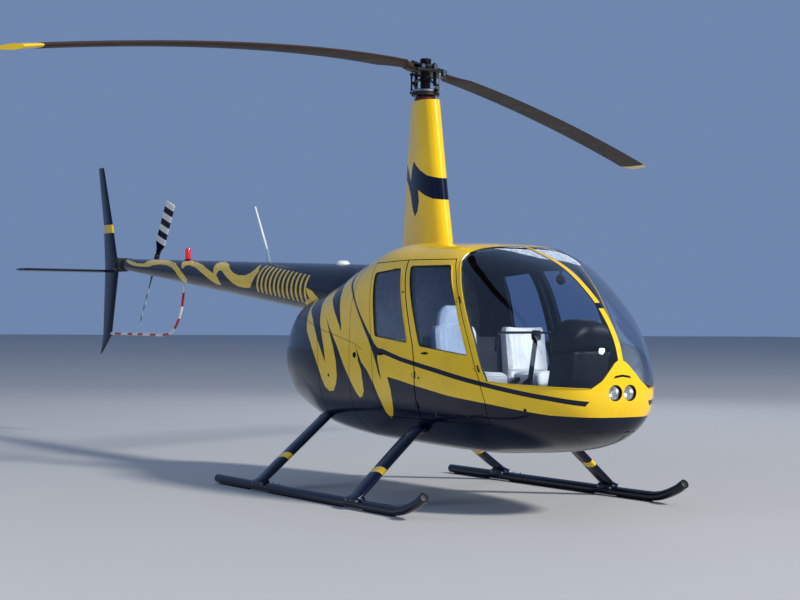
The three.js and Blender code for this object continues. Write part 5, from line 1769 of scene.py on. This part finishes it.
def stick():
    """Cyclic stick with its boot and a bar across that ends in two hanging grips."""
    bm = bmesh.new()
    foot, top = Vector(STICK_FOOT), Vector(STICK_TOP)
    bar(bm, foot, top, 18, 17, 24, 0)
    turned(bm, STICK_BOOT, placed((foot.x, 0, 0)), 28, 1)
    turned(bm, STICK_HUB, placed((top.x, 0, 0)), 28, 1)
    bar(bm, (top.x, -STICK_REACH + 6, STICK_BAR_Z), (top.x, STICK_REACH - 6, STICK_BAR_Z), 9, 9, 16, 0)
    for sign in SIDES.values():
        y = sign * (STICK_REACH - 6)
        line = [(1452, y - sign * 28, STICK_BAR_Z), (1455, y - sign * 8, 1214), (1453, y, 1196),
                (1447, y, 1150), (1440, y, 1092)]
        tube(bm, flowing(line, 5), 9, 0, False, 3)
        turned(bm, STICK_GRIP, placed((1446, y, 1147), 6), 22, 1)
        ball(bm, (1456, y - sign * 8, 1206), (9, 9, 7), 2, 12, 8)
    return bm


def levers():
    """Two collective levers with grips on one cross shaft, and their bracket, plate and bolts."""
    bm = bmesh.new()
    (x0, z0), (x1, z1) = LEVER_PIVOT, LEVER_TIP
    for y in (-52, 52):
        line = flowing([(x0, y, z0), (x0 + 120, y, z0 + 62), (x1 - 110, y, z1 - 54), (x1, y, z1)], 6)
        tube(bm, line, 9, 0, False, 3)
        grip, tip = Vector((x1 - 108, y, z1 - 54)), Vector((x1 - 2, y, z1 - 1))
        turned(bm, LEVER_GRIP, Matrix.Translation(grip) @ facing(tip - grip), 22, 1)
    bar(bm, (x0, -60, z0), (x0, 60, z0), 12, 12, 20, 0, 2)
    bracket = [(-26, 612), (26, 612), (17, z0 - 4), (0, z0 + 14), (-17, z0 - 4)]
    slab(bm, [(x0 + x, z) for x, z in bracket], -28, 28, (0, 2), 3, 0)
    block(bm, (x0 - 32, -34, 603), (x0 + 32, 34, 615), 3, 0)
    for y in (-22, 22):
        bolt(bm, (x0 - 24, y, 615), (0, 0, 1), 5, 5, 1)
    return bm


class HELICOPTER_OT_console(bpy.types.Operator):
    """Instrument console with its dials and radios, cyclic stick and collective levers"""
    bl_idname = "helicopter.console"
    bl_label = "Console and controls"

    def execute(self, context):
        panel = moulded("phenolic_panel", "trim", 0.8, 0.35, 0.05)
        face = moulded("dial_face", "trim", 0.6, 0.3, 0.02)
        display = lens("amber_display", "#3A1C02", 0.15)
        piece("instrument_console_body", console(), "root", "dark_trim",
              [trim(), panel, face, white(), display], ("instrument_console",))
        skins = [dark_enamel(), rubber()]
        piece("cyclic_stick_body", stick(), "root", "dark_trim", [*skins, red()], ("cyclic_stick",))
        piece("collective_levers_body", levers(), "root", "dark_trim", skins, ("collective_levers",))
        return {"FINISHED"}


def fixed_swashplate():
    """Collar and lower plate, which don't turn."""
    bm = bmesh.new()
    turned(bm, COLLAR, None, 48, 3)
    turned(bm, FIXED_PLATE, None, 48, 0)
    for k in range(3):
        angle = math.radians(30 + 120 * k)
        out = Vector((math.cos(angle), math.sin(angle), 0))
        low, middle, high = [Vector((0, 0, z)) for z in (2962, 2996, 3004)]
        bar(bm, out * 88 + low, out * 88 + middle, 9, 9, 16, 1)
        bolt(bm, out * 96 + high, out, 9, 11, 2)
    return bm


def pitch_link(bm, foot, skin):
    """An upright rod with a ball and a nut at each end, on its arm of the upper plate."""
    x, y, z = foot
    bar(bm, (x * 0.66, y * 0.66, z), (x * 0.97, y * 0.97, z), 11, 9, 16, 0)
    ball(bm, foot, (13, 13, 13), skin, 16, 10)
    bar(bm, (x, y, z + 10), (x, y, z + 128), 6.5, 6.5, 16, skin)
    for level in (z + 20, z + 112):
        bar(bm, (x, y, level), (x, y, level + 9), 10, 10, 6, skin, 0.8)
    ball(bm, (x, y, z + LINK_LENGTH), (13, 13, 13), skin, 16, 10)


def turning_swashplate():
    """Upper plate with its bolts, two pitch links and two scissor links."""
    bm = bmesh.new()
    turned(bm, TURNING_PLATE, None, 48, 1)
    for x, y in circle(0, 0, 86, 12):
        ball(bm, (x, y, 3039.5), (5, 5, 4), 2, 10, 6)
    pitch_link(bm, (*LINK, LINK_Z), 1)
    pitch_link(bm, (-LINK[0], -LINK[1], LINK_Z), 2)
    for sign in (-1, 1):
        low, elbow, high = [(sign * x, sign * y, z) for x, y, z in SCISSORS]
        bar(bm, low, elbow, 10, 9, 16, 0, 1)
        bar(bm, elbow, high, 10, 9, 16, 0, 1)
        ball(bm, elbow, (13, 13, 13), 2, 14, 8)
    return bm


def hub():
    """Mast shaft, hub plates with their spacers, hinge bolts and pitch horns."""
    bm = bmesh.new()
    turned(bm, MAST_SHAFT, None, 40, 2)
    for x, y in circle(0, 0, 30, 8):
        ball(bm, (x, y, 3274), (4, 4, 3), 1, 8, 6)
    plate = [*[(x, -y) for x, y in HUB_EDGE], *reversed(HUB_EDGE)]
    for low, high in HUB_PLATES:
        slab(bm, plate, low, high)
    low, high = HUB_GAP
    for x in (-150, 150):
        block(bm, (x - 34, -48, low), (x + 34, 48, high), 5, 0)
    block(bm, (-66, -60, low), (66, 60, high), 6, 0)
    bar(bm, (0, -94, TEETER_Z), (0, 94, TEETER_Z), 25, 25, 28, 1, 3)
    for sign in (-1, 1):
        bar(bm, (0, sign * 66, TEETER_Z), (0, sign * 84, TEETER_Z), 32, 30, 6, 2, 2)
        for x in (-190, 190):
            bar(bm, (x, sign * 46, HUB_Z), (x, sign * 79, HUB_Z), 21, 21, 26, 1, 3)
            bar(bm, (x, sign * 50, HUB_Z), (x, sign * 66, HUB_Z), 28, 27, 6, 2, 2)
    for sign in (-1, 1):
        slab(bm, [(sign * x, sign * y) for x, y in PITCH_HORN], 3158, 3178, (0, 1), 4, 0)
        block(bm, (sign * 40 - 9, sign * 96 - 12, 3060), (sign * 40 + 9, sign * 96 + 12, 3168), 4, 2)
        for x in (215, 250, 285):
            for y in (-26, 26):
                bolt(bm, (sign * x, y, HUB_PLATES[1][1]), (0, 0, 1), 8, 9, 2)
    for sign in (-1, 1):
        tube(bm, flowing([(sign * x, y, z) for x, y, z in DROOP_WIRE], 5), 4, 2)
    return bm


class HELICOPTER_OT_rotor_head(bpy.types.Operator):
    """Swashplates, pitch links, hub and shaft of the main rotor"""
    bl_idname = "helicopter.rotor_head"
    bl_label = "Rotor head"

    def execute(self, context):
        skins = head_metals(enamel("dark_red_enamel", "oxide", 0.4, 0.3))
        piece("swashplate_lower_casting", fixed_swashplate(), "root", "cast_metal", skins,
              ("swashplate_lower",))
        for name, bm, node in (("swashplate_upper_ring", turning_swashplate(), "swashplate_upper"),
                               ("rotor_hub", hub(), "rotor_head")):
            moved(bm, placed((0, 0, 0), ROTOR_AZIMUTH, "Z"))
            piece(name, bm, "main_rotor", "bare_steel", skins, (node,))
        return {"FINISHED"}


def tail_gearbox():
    """Case behind the tail cone, its output to the left, bolts, cooling ribs and filler cap."""
    bm = bmesh.new()
    x, y, z = TAIL_CASE_PLACE
    turned(bm, TAIL_CASE, placed(TAIL_CASE_PLACE, -90), 36, 0)
    turned(bm, TAIL_OUTPUT, placed((TAIL_HUB[0], 0, TAIL_HUB[2]), -90, "X"), 36, 0)
    for (case_y, case_z), (out_x, out_z) in zip(circle(y, z, 60, 8), circle(TAIL_HUB[0], TAIL_HUB[2], 55, 8)):
        bolt(bm, (x - 118, case_y, case_z), (1, 0, 0), 5, 6, 2)
        bolt(bm, (out_x, 142, out_z), (0, 1, 0), 5, 6, 2)
    for rib in COOLING_RIBS:
        turned(bm, [(60, -2), (67, -2), (67, 2), (60, 2)], placed((rib, y, z), 90), 36, 0)
    bar(bm, (TAIL_HUB[0], -20, 1890), (TAIL_HUB[0], -20, 1912), 12, 9, 20, 2, 2)
    return bm


def tail_hub():
    """Shaft, hub block, pitch links and blade bolts, its blades along z."""
    bm = bmesh.new()
    turned(bm, TAIL_SHAFT, placed((0, 0, 0), -90, "X"), 32, 1)
    block(bm, (-24, 389, -128), (24, 431, 128), 9, 0, 3)
    for sign in (-1, 1):
        bar(bm, (34, 360, sign * 58), (34, 402, sign * 62), 5.5, 5.5, 14, 1)
        ball(bm, (34, 360, sign * 58), (8, 8, 8), 2, 12, 8)
        ball(bm, (34, 404, sign * 62), (8, 8, 8), 2, 12, 8)
        block(bm, (20, 397, sign * 62 - 8), (38, 411, sign * 62 + 8), 2, 0)
        bar(bm, (-25, 410, sign * 96), (25, 410, sign * 96), 9, 9, 6, 2, 1)
    return bm


def tail_blade(half_turns):
    """A pitched blade with black and white bands, along +z or, after a half turn, along -z."""
    y = TAIL_HUB[1]
    rings = []
    for row, after in zip(TAIL_BLADE_ROWS, TAIL_BLADE_ROWS[1:]):
        for k in range(8):
            z, share, thick = [a + (b - a) * k / 8 for a, b in zip(row, after)]
            rings.append([Vector((c, y + w, z)) for c, w in foil(share * TAIL_ROTOR_CHORD, thick, 24)])
    z, share, thick = TAIL_BLADE_ROWS[-1]
    rings.append([Vector((c, y + w, z)) for c, w in foil(share * TAIL_ROTOR_CHORD, thick, 24)])
    bm = bmesh.new()
    skin_over(bm, rings)
    for k in range(1, TAIL_BANDS):
        bisect(bm, bm.faces[:], Vector((0, y, TAIL_ROTOR_RADIUS - TAIL_BAND * k)), Vector((0, 0, 1)))

    def is_white(c):
        band = int((TAIL_ROTOR_RADIUS - c.z) / TAIL_BAND)
        return band < 1 or (band % 2 == 0 and band < TAIL_BANDS - 1)

    coloured(bm, is_white)
    for angle, axis in ((math.radians(TAIL_PITCH), "Z"), (math.pi * half_turns, "Y")):
        bmesh.ops.rotate(bm, verts=bm.verts[:], cent=(0, y, 0), matrix=Matrix.Rotation(angle, 3, axis))
    return bm


class HELICOPTER_OT_tail_rotor(bpy.types.Operator):
    """Tail gearbox, hub and the two striped blades"""
    bl_idname = "helicopter.tail_rotor"
    bl_label = "Tail rotor"

    def execute(self, context):
        skins = head_metals(black())
        piece("tail_gearbox_case", tail_gearbox(), "root", "cast_metal", skins, ("tail_gearbox",))
        lean = placed((TAIL_HUB[0], 0, TAIL_HUB[2]), TAIL_ROTOR_LEAN)
        bm = tail_hub()
        moved(bm, lean)
        piece("tail_rotor_hub_assembly", bm, "tail_rotor", "bare_steel", skins, ("tail_rotor_hub",))
        for half_turns, name in enumerate(("tail_blade_upper", "tail_blade_lower")):
            bm = tail_blade(half_turns)
            moved(bm, lean)
            piece(f"{name}_skin", bm, "tail_rotor", "striped_paint", [black(), white()], (name,))
        return {"FINISHED"}


class HELICOPTER_OT_lamps(bpy.types.Operator):
    """The two landing lamps in the nose"""
    bl_idname = "helicopter.lamps"
    bl_label = "Landing lamps"

    def execute(self, context):
        bm, glass = bmesh.new(), bmesh.new()
        bowl = [(0, 2), (10, 2), *[(10 + 36 * math.sqrt(k / 8), 4 + 38 * k / 8) for k in range(1, 9)]]
        for y in (-LAMP_Y, LAMP_Y):
            forward = placed((LAMP_X, y, LAMP_Z), 90)
            turned(bm, [*bowl, *LAMP_BACK], forward, 40, 0)
            turned(bm, LAMP_RIM, forward, 40, 1)
            turned(bm, LAMP_BULB, forward, 20, 0)
            turned(glass, LAMP_GLASS, forward, 40, 0)
        block(bm, (LAMP_X - 8, -LAMP_Y, LAMP_Z - 12), (LAMP_X - 2, LAMP_Y, LAMP_Z + 12), 1.5, 1)
        bright = metal("vacuum_plated_reflector", "#F0F1F2", 0.34, (8, 8, 8), 0.02)
        clear = glazing("pressed_lamp_glass", "#F2F4F5", 1, 0.03)
        piece("landing_lamp_reflectors", bm, "root", "lamp_glass", [bright, dark_steel()],
              ("landing_lights",))
        piece("landing_lamp_glasses", glass, "root", "lamp_glass", [clear])
        return {"FINISHED"}


def fan():
    """Scroll, hub and wings of the cooling fan."""
    bm = bmesh.new()
    back = placed((FAN_X, 0, FAN_Z), -90)
    turned(bm, FAN_SCROLL, back, 48, 0)
    turned(bm, FAN_HUB, back, 48, 0)
    for k in range(FAN_WINGS):
        block(bm, (62, -2, 74), (116, 2, 112), 1, 1, 1, back @ placed((0, 0, 0), 360 * k / FAN_WINGS, "Z"))
    turned(bm, FAN_NUT, back, 24, 2)
    return bm


def tailpipe():
    """Exhaust pipe with its wall, rolled ends and clamp."""
    bm = bmesh.new()
    line = flowing(EXHAUST_PATH, 8)
    tube(bm, line, 31.5, 0, False, 6, False)
    tube(bm, line, 29, 1, False, 6, False)
    for end, before in ((line[0], line[1]), (line[-1], line[-2])):
        aim = (end - before).normalized()
        place = Matrix.Translation(end - aim * 1.2) @ facing(aim)
        turned(bm, [(28.6, -2), (32, -2), (32, 1), (28.6, 1), (28.6, -2)], place, 32, 0)
    turned(bm, [(31, -6), (38, -6), (38, 6), (31, 6)], Matrix.Translation(line[6]), 32, 2)
    return bm


class HELICOPTER_OT_engine_bay(bpy.types.Operator):
    """Fan, exhaust and the finish of the firewall and engine block"""
    bl_idname = "helicopter.engine_bay"
    bl_label = "Engine bay"

    def execute(self, context):
        own_finish("engine_block", casting("engine_casting", "#55585A", 0.6))
        own_finish("firewall", metal("stainless_sheet", "#8E9092", 0.4, (2, 30, 2)))
        scroll = moulded("glass_fibre_scroll", "lining", 3, 0.6)
        wings = casting("fan_casting", "#8A8D8F", 0.5)
        piece("cooling_fan_scroll", fan(), "root", "cast_metal", [scroll, wings, dark_steel()],
              ("cooling_fan",))
        skins = [metal("heat_tinted_steel", "#7A6A5C", 0.4), dark_steel(), steel()]
        piece("exhaust_tailpipe", tailpipe(), "root", "bare_steel", skins, ("exhaust_pipe",))
        return {"FINISHED"}


class HELICOPTER_OT_stage(bpy.types.Operator):
    """Camera, lights and a plain pale floor"""
    bl_idname = "helicopter.stage"
    bl_label = "Stage"

    def execute(self, context):
        scene = context.scene
        lens_data = bpy.data.cameras.new("camera")
        lens_data.sensor_width = SENSOR
        lens_data.lens = CAMERA_FOCUS * SENSOR / PHOTO_SIZE[0]
        lens_data.clip_end = 500
        camera = bpy.data.objects.new("camera", lens_data)
        scene.collection.objects.link(camera)
        forward = Vector(CAMERA_FORWARD).normalized()
        right = forward.cross(Vector((0, 0, 1))).normalized()
        up = right.cross(forward)
        roll = math.radians(CAMERA_ROLL)
        side = right * math.cos(roll) + up * math.sin(roll)
        top = up * math.cos(roll) - right * math.sin(roll)
        turn = Matrix((side, top, -forward)).transposed().to_4x4()
        camera.matrix_world = Matrix.Translation(TO_ROW @ Vector(CAMERA_PLACE)) @ turn
        bpy.context.scene.camera = camera

        bm = bmesh.new()
        bmesh.ops.create_grid(bm, x_segments=1, y_segments=1, size=FLOOR_HALF)
        mesh = bpy.data.meshes.new("floor")
        bm.to_mesh(mesh)
        bm.free()
        material, tree, _ = blank("pale_floor")
        matt = add(tree, "BsdfPrincipled", {"Base Color": FLOOR_COLOUR, "Roughness": 0.9})
        mesh.materials.append(finished(material, matt))
        floor = bpy.data.objects.new("floor", mesh)
        scene.collection.objects.link(floor)

        world = bpy.data.worlds.new("studio")
        world.use_nodes = True
        world.node_tree.nodes.clear()
        sky = add(world.node_tree, "Background", {"Color": SKY_COLOUR, "Strength": SKY_STRENGTH})
        add(world.node_tree, "OutputWorld", {"Surface": sky.outputs[0]})
        scene.world = world
        scene.view_settings.view_transform = "Standard"

        for name, place, width, power, colour in LIGHTS:
            lamp = bpy.data.lights.new(name, "AREA")
            lamp.shape = "DISK"
            lamp.size = width
            lamp.energy = power
            lamp.color = colour
            holder = bpy.data.objects.new(name, lamp)
            scene.collection.objects.link(holder)
            aim = Vector(LIGHT_AIM) - Vector(place)
            holder.location = place
            holder.rotation_euler = aim.to_track_quat("-Z", "Y").to_euler()
            holder.visible_glossy = name == "key"
        return {"FINISHED"}


OPERATORS = [
    HELICOPTER_OT_stage, HELICOPTER_OT_body, HELICOPTER_OT_body_trim, HELICOPTER_OT_lamps,
    HELICOPTER_OT_cabin, HELICOPTER_OT_seats, HELICOPTER_OT_console, HELICOPTER_OT_engine_bay,
    HELICOPTER_OT_mast, HELICOPTER_OT_rotor_head, HELICOPTER_OT_main_blades, HELICOPTER_OT_tail_cone,
    HELICOPTER_OT_tail_surfaces, HELICOPTER_OT_tail_rotor, HELICOPTER_OT_landing_gear,
]


class HELICOPTER_PT_panel(bpy.types.Panel):
    """Colours, sizes and a button for each group of pieces"""
    bl_idname = "HELICOPTER_PT_panel"
    bl_label = "Helicopter"
    bl_space_type = "VIEW_3D"
    bl_region_type = "UI"
    bl_category = "Helicopter"

    def draw(self, context):
        for group in (context.scene.helicopter_colours, context.scene.helicopter_sizes):
            for name in group.__annotations__:
                self.layout.prop(group, name)
        for operator in OPERATORS:
            self.layout.operator(operator.bl_idname)


CLASSES = [HelicopterColours, HelicopterSizes, *OPERATORS, HELICOPTER_PT_panel]


def register():
    for kind in CLASSES:
        bpy.utils.register_class(kind)
    bpy.types.Scene.helicopter_colours = bpy.props.PointerProperty(type=HelicopterColours)
    bpy.types.Scene.helicopter_sizes = bpy.props.PointerProperty(type=HelicopterSizes)


def unregister():
    del bpy.types.Scene.helicopter_sizes
    del bpy.types.Scene.helicopter_colours
    for kind in reversed(CLASSES):
        bpy.utils.unregister_class(kind)


def main():
    register()
    for operator in OPERATORS:
        group, name = operator.bl_idname.split(".")
        getattr(getattr(bpy.ops, group), name)()


if __name__ == "__main__":
    main()
